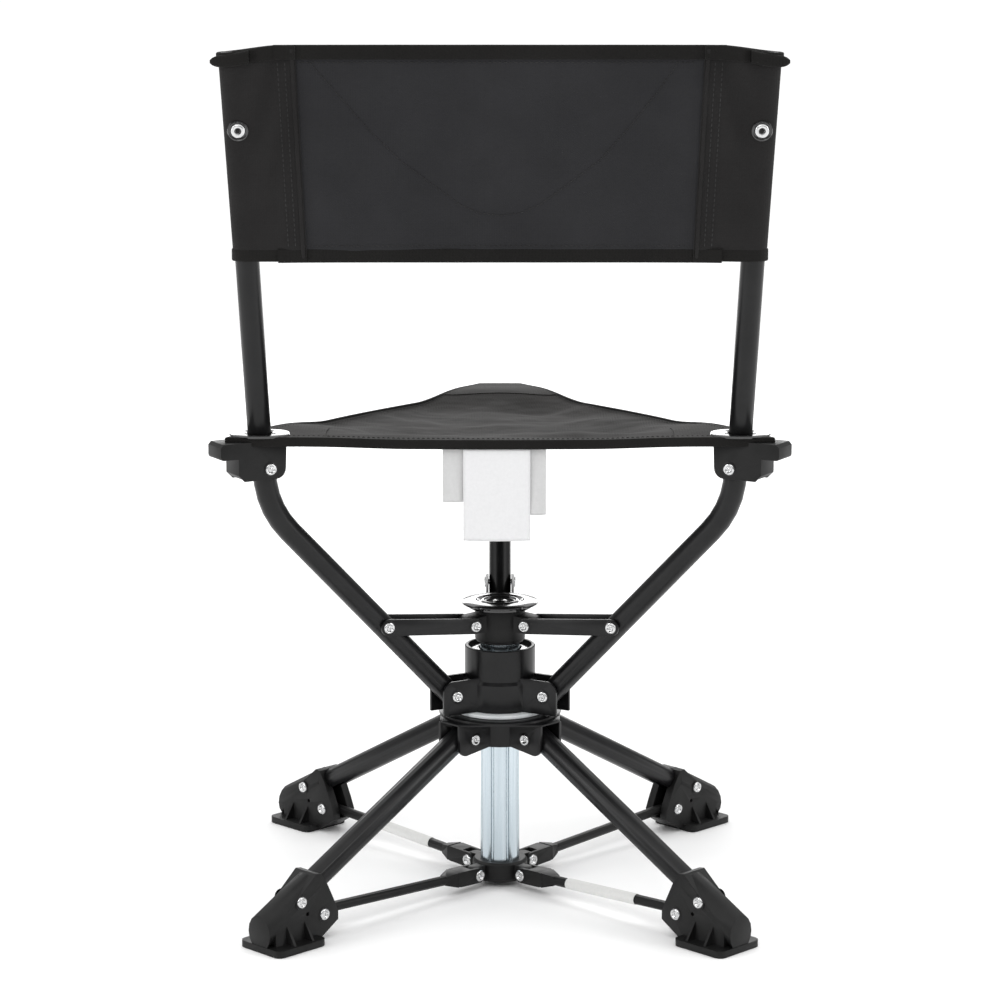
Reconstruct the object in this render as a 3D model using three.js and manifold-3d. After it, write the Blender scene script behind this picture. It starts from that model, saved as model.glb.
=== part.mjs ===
// A folding swivel chair: three seat arms and two back tubes turn on a four-legged folding base.
// Millimetres, +Z up, the sitter faces +Y, and the swivel axis is vertical.
import * as THREE from "three";
import { mergeVertices } from "three/addons/utils/BufferGeometryUtils.js";
import Module from "manifold-3d";

const wasm = await Module();
wasm.setup();

// ---- driving dimensions ----
// Every radius is measured out from the swivel axis, and every height from the floor.

const gap = 0.3; // between faces that touch
const tube = { outer: 11, inner: 9.4 }; // legs, arms and back tubes
const clear = { tube: 0.6, post: 0.5, shank: 0.4 }; // round a tube between cheeks, the post, a rivet
const cheek = tube.outer + clear.tube; // half the space between two cheeks
const shank = 3;
const rivet = { shank, hole: shank + clear.shank, head: 5.5, thick: 1.8 };

const legAngles = { rear_left: 225, rear_right: 315, front_right: 45, front_left: 135 };
const armAngles = { rear_left: 210, rear_right: 330, front: 90 };

// Post that slides through the hubs as the chair folds
const postRadius = 19.1;
const post = { radius: postRadius, bore: postRadius - 2.6, bottom: 24.5, top: 277, grooves: 8, grooveDepth: 0.8 };
// The sleeve that the seat turns on, inside the hubs
const sleeve = { inner: post.radius + 4.9, outer: post.radius + 8.3, bottom: 160, top: 233 };

// Leg base
const leg = {
  hinge: [48.3, 155.3], // radius, height
  slope: 28.1, // degrees below level
  rise: 4.5, // the tube's axis passes this far above its hinge
  endRound: 15.5, // top end of the tube, about its hinge
  endRadius: 290, // lower end
  slotRadius: 228, // the slot under the tube starts here
  slotHalf: 5.75,
};
const foot = {
  rivet: [275.1, 42.5],
  wallHalf: tube.outer + 3.5,
  sleeve: tube.outer + 4,
  bore: tube.outer + gap,
  sleeveStart: 252,
  outerEnd: 314.5,
  boreEnd: 296,
  plateInner: 255,
  plateOuter: 315,
  plateHalf: 28.5,
  plateThick: 6.5,
  slotEnd: 288,
  slotFloor: 17,
};
const stretcher = {
  hinge: [36.8, 14.4],
  foot: [246.5, 24.7], // where its outer end meets the foot
  radius: 5,
  earInner: 6,
  earOuter: 9,
  earHalf: 7.5,
  forkEnd: 62,
  crotch: 47,
};
const legHub = {
  radius: sleeve.outer + 4.1,
  bottom: 144,
  top: 171.5,
  bore: post.radius + clear.post,
  boreTop: 159.7,
  counterbore: sleeve.outer + gap,
  cheekInner: cheek,
  cheekOuter: cheek + 3,
  cheekReach: 69.3,
  cheekBottom: 141,
  flange: 60,
  plateTop: 173,
  flangeTop: 175,
};

const bottomHub = { radius: 27, bottom: 4.7, top: 24.3, lugHalf: 5.7, lugEnd: 7.5 };
const disc = {
  radius: 37.5,
  flange: 31,
  bottom: post.top + gap,
  step: post.top + 3.5,
  top: post.top + 8,
};

// Swivel bearing and arm hub
const washer = {
  inner: sleeve.outer + 1.6,
  outer: 46,
  bottom: 175 + gap,
  top: 178.7,
};
const retainer = {
  inner: post.radius + 1.1,
  outer: sleeve.outer + 3.1,
  bottom: sleeve.top + gap,
  top: sleeve.top + 3.5,
};
const armHub = {
  radius: 34.4,
  skirt: 37,
  skirtTop: 209,
  bottom: 179,
  top: 240,
  bore: sleeve.outer + 0.4,
  boreTop: sleeve.top,
  counterbore: retainer.outer + 0.5,
  cheekInner: tube.outer + 0.5,
  cheekOuter: tube.outer + 3.6,
  cheekReach: 70.4,
  cheekTop: 212,
};
const collar = {
  radius: post.radius + 5.3,
  bore: post.radius + clear.post,
  bottom: 246.4,
  top: post.top - gap,
  lugHalf: tube.outer + 0.2,
  lugReach: 42,
};
const link = {
  inner: [34.7, 264.1],
  outer: [129.7, 273.8],
  plateInner: cheek,
  plateOuter: cheek + 2.4,
  half: 7.5,
  webStart: 20,
  webEnd: 101 - 3 * tube.outer, // clear of the arm tube
};

// Seat arms and their end brackets
const arm = {
  hinge: [55.8, 196.8],
  bendStart: [227.4, 375.7],
  bendEnd: [252.5, 438],
  endRound: 9.6, // top end of the tube, about the bracket pin
};
const bracket = {
  pin: [arm.bendEnd[0], arm.bendEnd[1] + 0.7],
  half: cheek + 2.4,
  cavityHalf: cheek,
  inner: 236,
  outer: 285,
  bottom: 429,
  roof: 454.5,
  top: 464.5,
  hornReach: 303,
  frontReach: 290,
  hornBottom: 450.5,
  hornTop: 465.5,
  frontTop: 451.6, // the front one is lower, and slopes down with the seat's nose
  frontSlope: 5,
  frontRoof: 448.9,
};
const backTube = { radius: 256.7, lean: -0.175, spread: 0.041, base: 465.2, top: 822, spigot: tube.inner - 0.4 };

// Seat and back slings
const seat = {
  thick: 3,
  under: bracket.top + 1.5,
  rearY: -147,
  frontY: 290,
  rearHalf: 252,
  frontHalf: 22,
  frontDrop: 18.9,
  centreSag: 18,
  edgeSag: 8,
  hemSag: 2.6,
  tubeHole: tube.outer + 1.9,
  padFlat: 85, // flat for this far round each bracket
  padFade: 70,
};
const back = {
  planeY: -129.3,
  planeZ: 460,
  lean: -0.175,
  bottom: 636,
  top: 830,
  halfTop: 250,
  halfBottom: 241.5,
  sleeveHalf: tube.outer + 2.4,
  sleeveWidth: 30,
  panel: 2.4,
  channel: tube.outer + 0.8,
};

// ---- solids ----

// A three.js geometry as a manifold-3d solid.
function solid(geometry) {
  const plain = new THREE.BufferGeometry();
  plain.setAttribute("position", geometry.getAttribute("position"));
  if (geometry.index) plain.setIndex(geometry.index);
  const merged = mergeVertices(plain, 1e-3);
  const mesh = new wasm.Mesh({
    numProp: 3,
    vertProperties: merged.attributes.position.array,
    triVerts: new Uint32Array(merged.index.array),
  });
  return new wasm.Manifold(mesh);
}

// A manifold-3d solid as a three.js geometry.
function geometryOf(body) {
  const mesh = body.getMesh();
  const geometry = new THREE.BufferGeometry();
  geometry.setAttribute("position", new THREE.BufferAttribute(mesh.vertProperties, 3));
  geometry.setIndex(new THREE.BufferAttribute(mesh.triVerts, 1));
  return geometry;
}

const join = (...bodies) => bodies.reduce((all, one) => all.add(one));
const cut = (body, ...tools) => tools.reduce((left, tool) => left.subtract(tool), body);

// A box between two corners.
function box(low, high) {
  const size = high.map((value, i) => value - low[i]);
  const middle = high.map((value, i) => (value + low[i]) / 2);
  return solid(new THREE.BoxGeometry(...size).translate(...middle));
}

// A round bar with a vertical axis at x, y.
function bar(radius, bottom, top, x = 0, y = 0, sides = 28) {
  const shape = new THREE.CylinderGeometry(radius, radius, top - bottom, sides);
  return solid(shape.rotateX(Math.PI / 2).translate(x, y, (top + bottom) / 2));
}

// A body turned about the swivel axis from a closed profile of [radius, height], anticlockwise.
function turned(profile, sides = 28) {
  const points = [...profile, profile[0]].map(([r, z]) => new THREE.Vector2(r, z));
  return solid(new THREE.LatheGeometry(points, sides).rotateX(Math.PI / 2));
}

const ring = (inner, outer, bottom, top, sides = 28) =>
  turned([[inner, bottom], [outer, bottom], [outer, top], [inner, top]], sides);

// A plate drawn in the upright plane of a leg or arm: outline of [radius, height],
// from one sideways offset to another. It is made at azimuth 0.
function plate(outline, from, to) {
  const shape = new THREE.Shape(outline.map(([r, z]) => new THREE.Vector2(r, z)));
  const geometry = new THREE.ExtrudeGeometry(shape, { depth: to - from, bevelEnabled: false });
  return solid(geometry.translate(0, 0, -to).rotateX(Math.PI / 2));
}

// Points round part of a circle, in degrees.
function arc([x, z], radius, from, to, steps = 5) {
  const points = [];
  for (let i = 0; i <= steps; i++) {
    const a = THREE.MathUtils.degToRad(from + ((to - from) * i) / steps);
    points.push([x + radius * Math.cos(a), z + radius * Math.sin(a)]);
  }
  return points;
}

// A pin across a leg or arm, through a point of [radius, height].
function pin([r, z], radius, half, sides = 8) {
  return solid(new THREE.CylinderGeometry(radius, radius, 2 * half, sides).translate(r, 0, z));
}

const hole = (at, half = 40) => pin(at, rivet.hole, half);

// A rivet with a flat head at each end, across the gap between two outer faces.
function rivetAt([r, z], faceHalf) {
  const start = faceHalf + gap / 2;
  const rim = start + rivet.thick;
  const side = [
    [rivet.shank, start],
    [rivet.head, start],
    [rivet.head, start + 1],
    [rivet.head - 1.2, rim],
  ];
  const lower = side.map(([x, y]) => [x, -y]).reverse();
  const points = [[0, -rim], ...lower, ...side, [0, rim]];
  const profile = points.map(([x, y]) => new THREE.Vector2(x, y));
  return solid(new THREE.LatheGeometry(profile, 8).translate(r, 0, z));
}

// A straight bar or tube from a start point, along a slope in degrees, in the upright plane.
function rod([r, z], slope, from, to, radius, sides = 16) {
  const geometry = new THREE.CylinderGeometry(radius, radius, to - from, sides);
  geometry.translate(0, (to + from) / 2, 0).rotateZ(-Math.PI / 2);
  const angle = THREE.MathUtils.degToRad(slope);
  return solid(geometry.rotateY(-angle).translate(r, 0, z));
}

const along = ([r, z], slope, distance, up = 0) => {
  const a = THREE.MathUtils.degToRad(slope);
  return [
    r + distance * Math.cos(a) - up * Math.sin(a),
    z + distance * Math.sin(a) + up * Math.cos(a),
  ];
};

// ---- the object ----

const chair = new THREE.Group();
chair.name = "swivel_chair";

const colour = (hex, roughness, metalness) =>
  new THREE.MeshStandardMaterial({ color: hex, roughness, metalness });
const blackSteel = colour(0x232323, 0.45, 0.4);
const blackPlastic = colour(0x1f1f1f, 0.55, 0);
const glossPlastic = colour(0x151515, 0.15, 0);
const whitePlastic = colour(0xe8eaea, 0.4, 0);
const zinc = colour(0xc9d6dc, 0.35, 0.8);
const silver = colour(0xd9dadb, 0.3, 0.9);
const mesh = colour(0x333335, 0.9, 0);
const label = colour(0xf2f2f2, 0.8, 0);

function add(name, body, material, azimuth = 0) {
  const piece = new THREE.Mesh(geometryOf(body), material);
  piece.name = name;
  piece.rotation.z = THREE.MathUtils.degToRad(azimuth);
  chair.add(piece);
  return piece;
}

// A copy turned to an azimuth, for cutting or joining at the centre.
const turn = (body, azimuth) =>
  solid(geometryOf(body).rotateZ(THREE.MathUtils.degToRad(azimuth)));

// ---- leg hub, with its swivel bearing ----

function makeLegHub() {
  const h = legHub;
  let body = join(
    bar(h.radius, h.bottom, h.top + 0.5),
    bar(h.flange, h.plateTop - 0.5, h.flangeTop),
  );
  const octagon = new THREE.Shape();
  for (let i = 0; i < 4; i++) {
    const a = THREE.MathUtils.degToRad(90 * i);
    for (const [x, y] of [[58, 40], [40, 58]]) {
      const px = x * Math.cos(a) - y * Math.sin(a);
      const py = x * Math.sin(a) + y * Math.cos(a);
      if (i === 0 && x === 58) octagon.moveTo(px, py);
      else octagon.lineTo(px, py);
    }
  }
  const depth = h.plateTop - h.top;
  const top = new THREE.ExtrudeGeometry(octagon, { depth, bevelEnabled: false });
  body = body.add(solid(top.translate(0, 0, h.top)));
  const outline = [
    [24, h.cheekBottom + 4],
    ...arc([h.cheekReach - 9, h.cheekBottom + 9], 9, 270, 360, 4),
    [h.cheekReach, h.top + 0.3],
    [24, h.top + 0.3],
  ];
  for (const azimuth of Object.values(legAngles)) {
    for (const side of [-1, 1]) {
      const w = side > 0 ? [h.cheekInner, h.cheekOuter] : [-h.cheekOuter, -h.cheekInner];
      body = body.add(turn(plate(outline, ...w), azimuth));
    }
  }
  body = cut(
    body,
    bar(h.bore, h.bottom - 5, h.boreTop + 1),
    bar(h.counterbore, h.boreTop, h.flangeTop + 5),
  );
  for (const azimuth of Object.values(legAngles)) {
    body = body.subtract(turn(hole(leg.hinge, 20), azimuth));
  }
  return body;
}

add("leg_hub", makeLegHub(), blackSteel);
add("swivel_sleeve", ring(sleeve.inner, sleeve.outer, sleeve.bottom, sleeve.top), zinc);
add("thrust_washer", ring(washer.inner, washer.outer, washer.bottom, washer.top), whitePlastic);
add("sleeve_retainer", ring(retainer.inner, retainer.outer, retainer.bottom, retainer.top), zinc);

// ---- legs, feet and stretchers ----

const legStart = along(leg.hinge, -leg.slope, 0, leg.rise);
const legLength = (leg.endRadius - legStart[0]) / Math.cos(THREE.MathUtils.degToRad(leg.slope));
const legRod = (radius, from, to) => rod(legStart, -leg.slope, from, to, radius);

function makeLegTube() {
  let body = legRod(tube.outer, -20, legLength);
  const keep = join(pin(leg.hinge, leg.endRound, 20, 20), slab(legStart, -leg.slope, 0, 400, 30));
  body = body.intersect(keep);
  body = cut(body, legRod(tube.inner, -40, legLength + 10), hole(leg.hinge), hole(foot.rivet));
  const slotFrom = (leg.slotRadius - legStart[0]) / Math.cos(THREE.MathUtils.degToRad(leg.slope));
  const slot = slab(legStart, -leg.slope, slotFrom, legLength + 10, leg.slotHalf, -20, 0);
  return body.subtract(slot);
}

// A straight-sided block along a slope: from and to along it, half its width, low and high across.
function slab(start, slope, from, to, half, low = -40, high = 40) {
  const outline = [
    along(start, slope, from, low),
    along(start, slope, to, low),
    along(start, slope, to, high),
    along(start, slope, from, high),
  ];
  return plate(outline, -half, half);
}

function makeFoot() {
  const f = foot;
  const [kr, kz] = stretcher.foot;
  const axisHeight = (r) =>
    legStart[1] - (r - legStart[0]) * Math.tan(THREE.MathUtils.degToRad(leg.slope));
  const outline = [
    [kr - 17.5, kz - 8.7],
    [kr + 3, 3.5],
    [f.plateInner + 1, 3.5],
    [f.outerEnd - 8, 3.5],
    [f.outerEnd - 8, axisHeight(f.outerEnd - 8)],
    [f.sleeveStart + 4, axisHeight(f.sleeveStart) + 14],
    [kr + 3.5, kz + 40],
    [kr - 3.5, kz + 30],
    [kr - 12.5, kz + 11.3],
    [kr - 17.5, kz - 0.7],
  ];
  const along0 = (f.sleeveStart - legStart[0]) / Math.cos(THREE.MathUtils.degToRad(leg.slope));
  let body = join(
    plate(outline, -f.wallHalf, f.wallHalf),
    legRod(f.sleeve, along0, along0 + 90),
  );
  body = body.intersect(box([200, -30, 0], [f.outerEnd, 30, 120]));
  const corner = 7;
  const base = new THREE.Shape();
  base.moveTo(f.plateInner, -f.plateHalf + corner);
  for (const [x, y, from] of [
    [f.plateInner + corner, -f.plateHalf + corner, 180],
    [f.plateOuter - corner, -f.plateHalf + corner, 270],
    [f.plateOuter - corner, f.plateHalf - corner, 0],
    [f.plateInner + corner, f.plateHalf - corner, 90],
  ]) {
    for (const [px, py] of arc([x, y], corner, from, from + 90, 3)) base.lineTo(px, py);
  }
  const flat = new THREE.ExtrudeGeometry(base, { depth: f.plateThick, bevelEnabled: false });
  body = body.add(solid(flat));
  for (const r of [270, 292]) {
    for (const side of [-1, 1]) {
      const rib = new THREE.Shape([
        new THREE.Vector2(side * (f.wallHalf - 1), f.plateThick - 1),
        new THREE.Vector2(side * 26, f.plateThick - 1),
        new THREE.Vector2(side * (f.wallHalf - 1), 25),
      ]);
      const web = new THREE.ExtrudeGeometry(rib, { depth: 2.6, bevelEnabled: false });
      web.rotateX(Math.PI / 2).rotateZ(Math.PI / 2).translate(r - 1.3, 0, 0);
      body = body.add(solid(web));
    }
  }
  const boreTo = (f.boreEnd - legStart[0]) / Math.cos(THREE.MathUtils.degToRad(leg.slope));
  const bore = legRod(f.bore, along0 - 60, boreTo);
  const slotTop = [
    [f.slotEnd, axisHeight(f.slotEnd)],
    [220, axisHeight(220)],
  ];
  const slot = [[220, f.slotFloor], [f.slotEnd, f.slotFloor], ...slotTop];
  return cut(body, bore, plate(slot, -leg.slotHalf, leg.slotHalf), hole(f.rivet), pin([267.3, 29.5], 2, 40));
}

function makeStretcher() {
  const s = stretcher;
  const slope = THREE.MathUtils.radToDeg(
    Math.atan2(s.foot[1] - s.hinge[1], s.foot[0] - s.hinge[0]),
  );
  const length = Math.hypot(s.foot[0] - s.hinge[0], s.foot[1] - s.hinge[1]);
  const at = (distance, up = 0) => along(s.hinge, slope, distance, up);
  const fork = s.forkEnd - s.hinge[0];
  const outline = [
    ...arc(s.hinge, s.earHalf, slope + 90, slope + 270, 8),
    at(fork, -s.earHalf),
    at(fork + 12, -s.radius + 0.4),
    at(fork + 12, s.radius - 0.4),
    at(fork, s.earHalf),
  ];
  const ears = plate(outline, -s.earOuter, s.earOuter);
  const side = slab(s.hinge, slope, fork + 4, fork + 30, 30);
  const taper = pinchedTip(at, fork);
  const between = slab(s.hinge, slope, -20, s.crotch - s.hinge[0], s.earInner);
  const tubeBody = rod(s.hinge, slope, fork - 4, length, s.radius, 10);
  const tip = pin(s.foot, s.radius, s.radius - 1.5, 10);
  return cut(join(cut(ears, side), taper, tubeBody, tip), between, pin(s.hinge, rivet.hole, 30));
}

// The short taper where the fork narrows to its round rod.
function pinchedTip(at, fork) {
  const s = stretcher;
  const geometry = new THREE.BoxGeometry(1, 1, 1);
  const position = geometry.getAttribute("position");
  for (let i = 0; i < position.count; i++) {
    const wide = position.getX(i) < 0;
    const across = wide ? s.earOuter : s.radius - 0.6;
    const up = wide ? s.earHalf : s.radius - 0.6;
    const [r, z] = at(fork + (wide ? 3 : 16), Math.sign(position.getZ(i)) * up);
    position.setXYZ(i, r, Math.sign(position.getY(i)) * across, z);
  }
  return solid(geometry);
}

const legTube = makeLegTube();
const footBody = makeFoot();
const stretcherBody = makeStretcher();
for (const [name, azimuth] of Object.entries(legAngles)) {
  add("leg_hinge_rivet_" + name, rivetAt(leg.hinge, legHub.cheekOuter), silver, azimuth);
  add("leg_tube_" + name, legTube, blackSteel, azimuth);
  add("foot_" + name, footBody, blackPlastic, azimuth);
  add("foot_rivet_" + name, rivetAt(foot.rivet, foot.sleeve), silver, azimuth);
  add("stretcher_" + name, stretcherBody, blackPlastic, azimuth);
  add("stretcher_rivet_" + name, rivetAt(stretcher.hinge, stretcher.earOuter), silver, azimuth);
}

// ---- sliding post ----

function makePost() {
  let body = cut(
    bar(post.radius, post.bottom, post.top),
    bar(post.bore, post.bottom - 5, post.top + 5),
  );
  for (let i = 0; i < post.grooves; i++) {
    const a = THREE.MathUtils.degToRad(22.5 + (360 / post.grooves) * i);
    const r = post.radius + 1 - post.grooveDepth;
    body = body.subtract(
      bar(1, post.bottom - 5, post.top + 5, r * Math.cos(a), r * Math.sin(a), 4),
    );
  }
  return body;
}

function makeBottomHub() {
  const h = bottomHub;
  let body = turned([
    [0, h.bottom],
    [h.radius - 3, h.bottom],
    [h.radius, h.bottom + 3],
    [h.radius, h.top - 2],
    [h.radius - 2, h.top],
    [0, h.top],
  ]);
  const [r, z] = stretcher.hinge;
  const outline = [[15, z - h.lugEnd], ...arc([r, z], h.lugEnd, -90, 90, 8), [15, z + h.lugEnd]];
  for (const azimuth of Object.values(legAngles)) {
    body = body.add(turn(plate(outline, -h.lugHalf, h.lugHalf), azimuth));
  }
  for (const azimuth of Object.values(legAngles)) {
    body = body.subtract(turn(pin([r, z], rivet.hole, 8), azimuth));
  }
  return body;
}

add("center_post", makePost(), zinc);
add("bottom_hub", makeBottomHub(), blackPlastic);
add("post_stop_ring", ring(post.radius + gap, post.radius + 3.9, 243.5, 246.1), blackSteel);
add(
  "disc_cap",
  turned(
    [
      [0, disc.bottom],
      [disc.flange, disc.bottom],
      [disc.flange, disc.step],
      [disc.radius - 1.5, disc.step],
      [disc.radius, disc.step + 1.2],
      [disc.radius, disc.step + 2.4],
      [24, disc.top],
      [15, disc.top],
      [13.5, disc.top - 1.8],
      [0, disc.top - 1.8],
    ],
  ),
  glossPlastic,
);

// ---- arm hub, collar and links ----

function makeArmHub() {
  const h = armHub;
  let body = turned(
    [
      [20, h.bottom],
      [h.skirt, h.bottom],
      [h.skirt, h.skirtTop - 3],
      [h.radius, h.skirtTop],
      [h.radius, h.top - 0.8],
      [h.radius - 0.8, h.top],
      [20, h.top],
    ],
  );
  const outline = [
    [26, h.bottom],
    [h.cheekReach, h.bottom],
    ...arc([h.cheekReach - 10, h.cheekTop - 10], 10, 0, 90, 5),
    [26, h.cheekTop],
  ];
  for (const azimuth of Object.values(armAngles)) {
    for (const side of [-1, 1]) {
      const w = side > 0 ? [h.cheekInner, h.cheekOuter] : [-h.cheekOuter, -h.cheekInner];
      body = body.add(turn(plate(outline, ...w), azimuth));
    }
  }
  body = cut(
    body,
    bar(h.bore, h.bottom - 5, h.boreTop + 1),
    bar(h.counterbore, h.boreTop, h.top + 5),
  );
  for (const azimuth of Object.values(armAngles)) {
    body = body.subtract(turn(hole(arm.hinge, 20), azimuth));
  }
  return body;
}

function makeCollar() {
  const c = collar;
  const [r, z] = link.inner;
  let body = turned(
    [
      [10, c.bottom],
      [c.radius, c.bottom],
      [c.radius, c.top],
      [10, c.top],
    ],
  );
  const reach = c.lugReach - r;
  const outline = [[12, z - reach - 2], ...arc([r, z], reach, -90, 90, 8), [12, z + reach + 2]];
  for (const azimuth of Object.values(armAngles)) {
    body = body.add(turn(plate(outline, -c.lugHalf, c.lugHalf), azimuth));
  }
  body = body.subtract(bar(c.bore, c.bottom - 5, c.top + 5));
  for (const azimuth of Object.values(armAngles)) {
    body = body.subtract(turn(pin([r, z], rivet.hole, 15), azimuth));
  }
  return body;
}

function makeLink() {
  const k = link;
  const slope = THREE.MathUtils.radToDeg(
    Math.atan2(k.outer[1] - k.inner[1], k.outer[0] - k.inner[0]),
  );
  const outline = [
    ...arc(k.inner, k.half, slope + 90, slope + 270, 8),
    ...arc(k.outer, k.half + 0.5, slope - 90, slope + 90, 8),
  ];
  const web = slab(k.inner, slope, k.webStart, k.webEnd, k.plateInner + 1, -k.half, -k.half + 2.2);
  const body = join(
    plate(outline, k.plateInner, k.plateOuter),
    plate(outline, -k.plateOuter, -k.plateInner),
    web,
  );
  return cut(body, hole(k.inner));
}

add("arm_hub", makeArmHub(), blackSteel);
add("collar", makeCollar(), blackPlastic);

// ---- seat arms, brackets and back tubes ----

// The centre line of an arm: a straight run, a bend and a short straight end.
class ArmLine extends THREE.Curve {
  constructor() {
    super();
    const [sr, sz] = arm.bendStart;
    const slope = Math.atan2(sz - arm.hinge[1], sr - arm.hinge[0]);
    const start = [arm.hinge[0] - 8 * Math.cos(slope), arm.hinge[1] - 8 * Math.sin(slope)];
    const [er, ez] = arm.bendEnd;
    const turnBy = Math.PI / 2 - slope;
    this.stops = [[...start, slope]];
    // The bend keeps the two tangents and passes through both its ends.
    const steps = 5;
    const p0 = new THREE.Vector2(sr, sz);
    const p3 = new THREE.Vector2(er, ez);
    const handle = (0.36 * p0.distanceTo(p3));
    const p1 = p0.clone().add(new THREE.Vector2(Math.cos(slope), Math.sin(slope)).multiplyScalar(handle));
    const p2 = p3.clone().add(new THREE.Vector2(0, -handle));
    const bend = new THREE.CubicBezierCurve(p0, p1, p2, p3);
    for (let i = 0; i <= steps; i++) {
      const p = bend.getPoint(i / steps);
      const t = bend.getTangent(i / steps);
      this.stops.push([p.x, p.y, i === 0 ? slope : i === steps ? slope + turnBy : Math.atan2(t.y, t.x)]);
    }
    this.stops.push([er, bracket.pin[1] + arm.endRound + 2, slope + turnBy]);
  }
  getUtoTmapping(u) {
    return u;
  }
  stopAt(t) {
    const last = this.stops.length - 1;
    return this.stops[Math.round(Math.min(1, Math.max(0, t)) * last)];
  }
  getPoint(t) {
    const [r, z] = this.stopAt(t);
    return new THREE.Vector3(r, 0, z);
  }
  getTangent(t) {
    const a = this.stopAt(t)[2];
    return new THREE.Vector3(Math.cos(a), 0, Math.sin(a));
  }
}

function swept(line, radius) {
  const circle = new THREE.Shape();
  circle.absarc(0, 0, radius, 0, 2 * Math.PI);
  return solid(
    new THREE.ExtrudeGeometry(circle, {
      steps: line.stops.length - 1,
      extrudePath: line,
      curveSegments: 8,
      bevelEnabled: false,
    }),
  );
}

function makeArmTube() {
  const line = new ArmLine();
  const inside = new ArmLine();
  const first = inside.stops[0];
  first[0] -= 4 * Math.cos(first[2]);
  first[1] -= 4 * Math.sin(first[2]);
  inside.stops[inside.stops.length - 1][1] += 4;
  const [pr, pz] = bracket.pin;
  const corner = tube.outer + 3;
  const above = box([pr - corner, -corner, pz], [pr + corner, corner, pz + corner]);
  const trim = above.subtract(pin(bracket.pin, arm.endRound, corner + 5, 16));
  return cut(
    swept(line, tube.outer),
    swept(inside, tube.inner),
    trim,
    hole(arm.hinge),
    hole(bracket.pin),
  );
}

// The line of one back tube, at azimuth 0, for the left (-1) or right (+1) arm.
const rearAzimuth = THREE.MathUtils.degToRad(-30);
const tubeFoot = [backTube.radius * Math.cos(rearAzimuth), backTube.radius * Math.sin(rearAzimuth)];

// A round bar along the right back tube's line, in the chair's frame; side -1 mirrors it.
function leaning(radius, bottom, top, side, sides = 16) {
  const { spread, lean } = backTube;
  const geometry = new THREE.CylinderGeometry(radius, radius, 1, sides).rotateX(Math.PI / 2);
  const position = geometry.getAttribute("position");
  for (let i = 0; i < position.count; i++) {
    const z = position.getZ(i) > 0 ? top : bottom;
    const rise = z - backTube.base;
    const x = side * (tubeFoot[0] + spread * rise + position.getX(i));
    const y = tubeFoot[1] + lean * rise + position.getY(i);
    position.setXYZ(i, x, y, z);
  }
  if (side < 0) flip(geometry);
  return solid(geometry);
}

// Turns a mirrored geometry's faces the right way out again.
function flip(geometry) {
  const index = geometry.index.array;
  for (let i = 0; i < index.length; i += 3) {
    [index[i + 1], index[i + 2]] = [index[i + 2], index[i + 1]];
  }
}

// A bracket at azimuth 0: the rear ones have a level roof for a back tube, the front one slopes.
function makeBracket(rear) {
  const b = bracket;
  const [pr, pz] = b.pin;
  const top = rear ? b.top : b.frontTop;
  const roof = rear ? b.roof : b.frontRoof;
  const horn = rear ? b.hornTop : b.frontTop - b.frontSlope;
  const hornLow = rear ? b.hornBottom : horn - 8;
  const reach = rear ? b.hornReach : b.frontReach;
  const outer = rear ? b.outer : b.outer - 8;
  const ramp = rear
    ? [
        [b.outer - 10, horn],
        [b.outer - 16, top],
      ]
    : [];
  const outline = [
    ...arc([pr - 6, pz], pz - b.bottom, 180, 270, 5),
    [outer - 6, b.bottom],
    [outer, b.bottom + 6],
    [outer, hornLow],
    ...arc([reach - 3, hornLow + 3], 3, 270, 360, 3),
    [reach, horn - 3],
    [reach - 3, horn],
    ...ramp,
    [b.inner + 5, top],
    [b.inner, top - 5],
  ];
  const cavity = [
    [b.inner - 20, b.bottom - 10],
    [outer - 4, b.bottom - 10],
    [outer - 4, rear ? roof : roof - 3],
    [pr + 4, roof],
    [b.inner - 20, roof],
  ];
  return cut(
    plate(outline, -b.half, b.half),
    plate(cavity, -b.cavityHalf, b.cavityHalf),
    hole(b.pin),
  );
}

const armTube = makeArmTube();
const linkBody = makeLink();
const sides = { rear_left: -1, rear_right: 1, front: 0 };
for (const [name, azimuth] of Object.entries(armAngles)) {
  const side = sides[name];
  add("arm_hinge_rivet_" + name, rivetAt(arm.hinge, armHub.cheekOuter), silver, azimuth);
  add("link_" + name, linkBody, blackSteel, azimuth);
  add("link_rivet_" + name, rivetAt(link.inner, link.plateOuter), silver, azimuth);
  add("arm_tube_" + name, armTube, blackSteel, azimuth);
  let holder = turn(makeBracket(side !== 0), azimuth);
  if (side) holder = holder.add(leaning(backTube.spigot, bracket.top - 4, bracket.top + 45, side));
  add("bracket_" + name, holder, blackPlastic);
  add("bracket_rivet_" + name, rivetAt(bracket.pin, bracket.half), silver, azimuth);
  if (side) {
    const bottom = backTube.base;
    const wall = leaning(tube.outer, bottom, backTube.top, side);
    const inside = leaning(tube.inner, bottom - 5, backTube.top + 5, side);
    add("back_tube_" + (side < 0 ? "left" : "right"), wall.subtract(inside), blackSteel);
    const plug = join(
      leaning(tube.inner - gap, backTube.top - 14, backTube.top + 0.5, side),
      leaning(tube.outer, backTube.top + gap, backTube.top + 2.3, side),
    );
    add("back_tube_cap_" + (side < 0 ? "left" : "right"), plug, blackPlastic);
  }
}

// ---- slings ----

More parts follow.
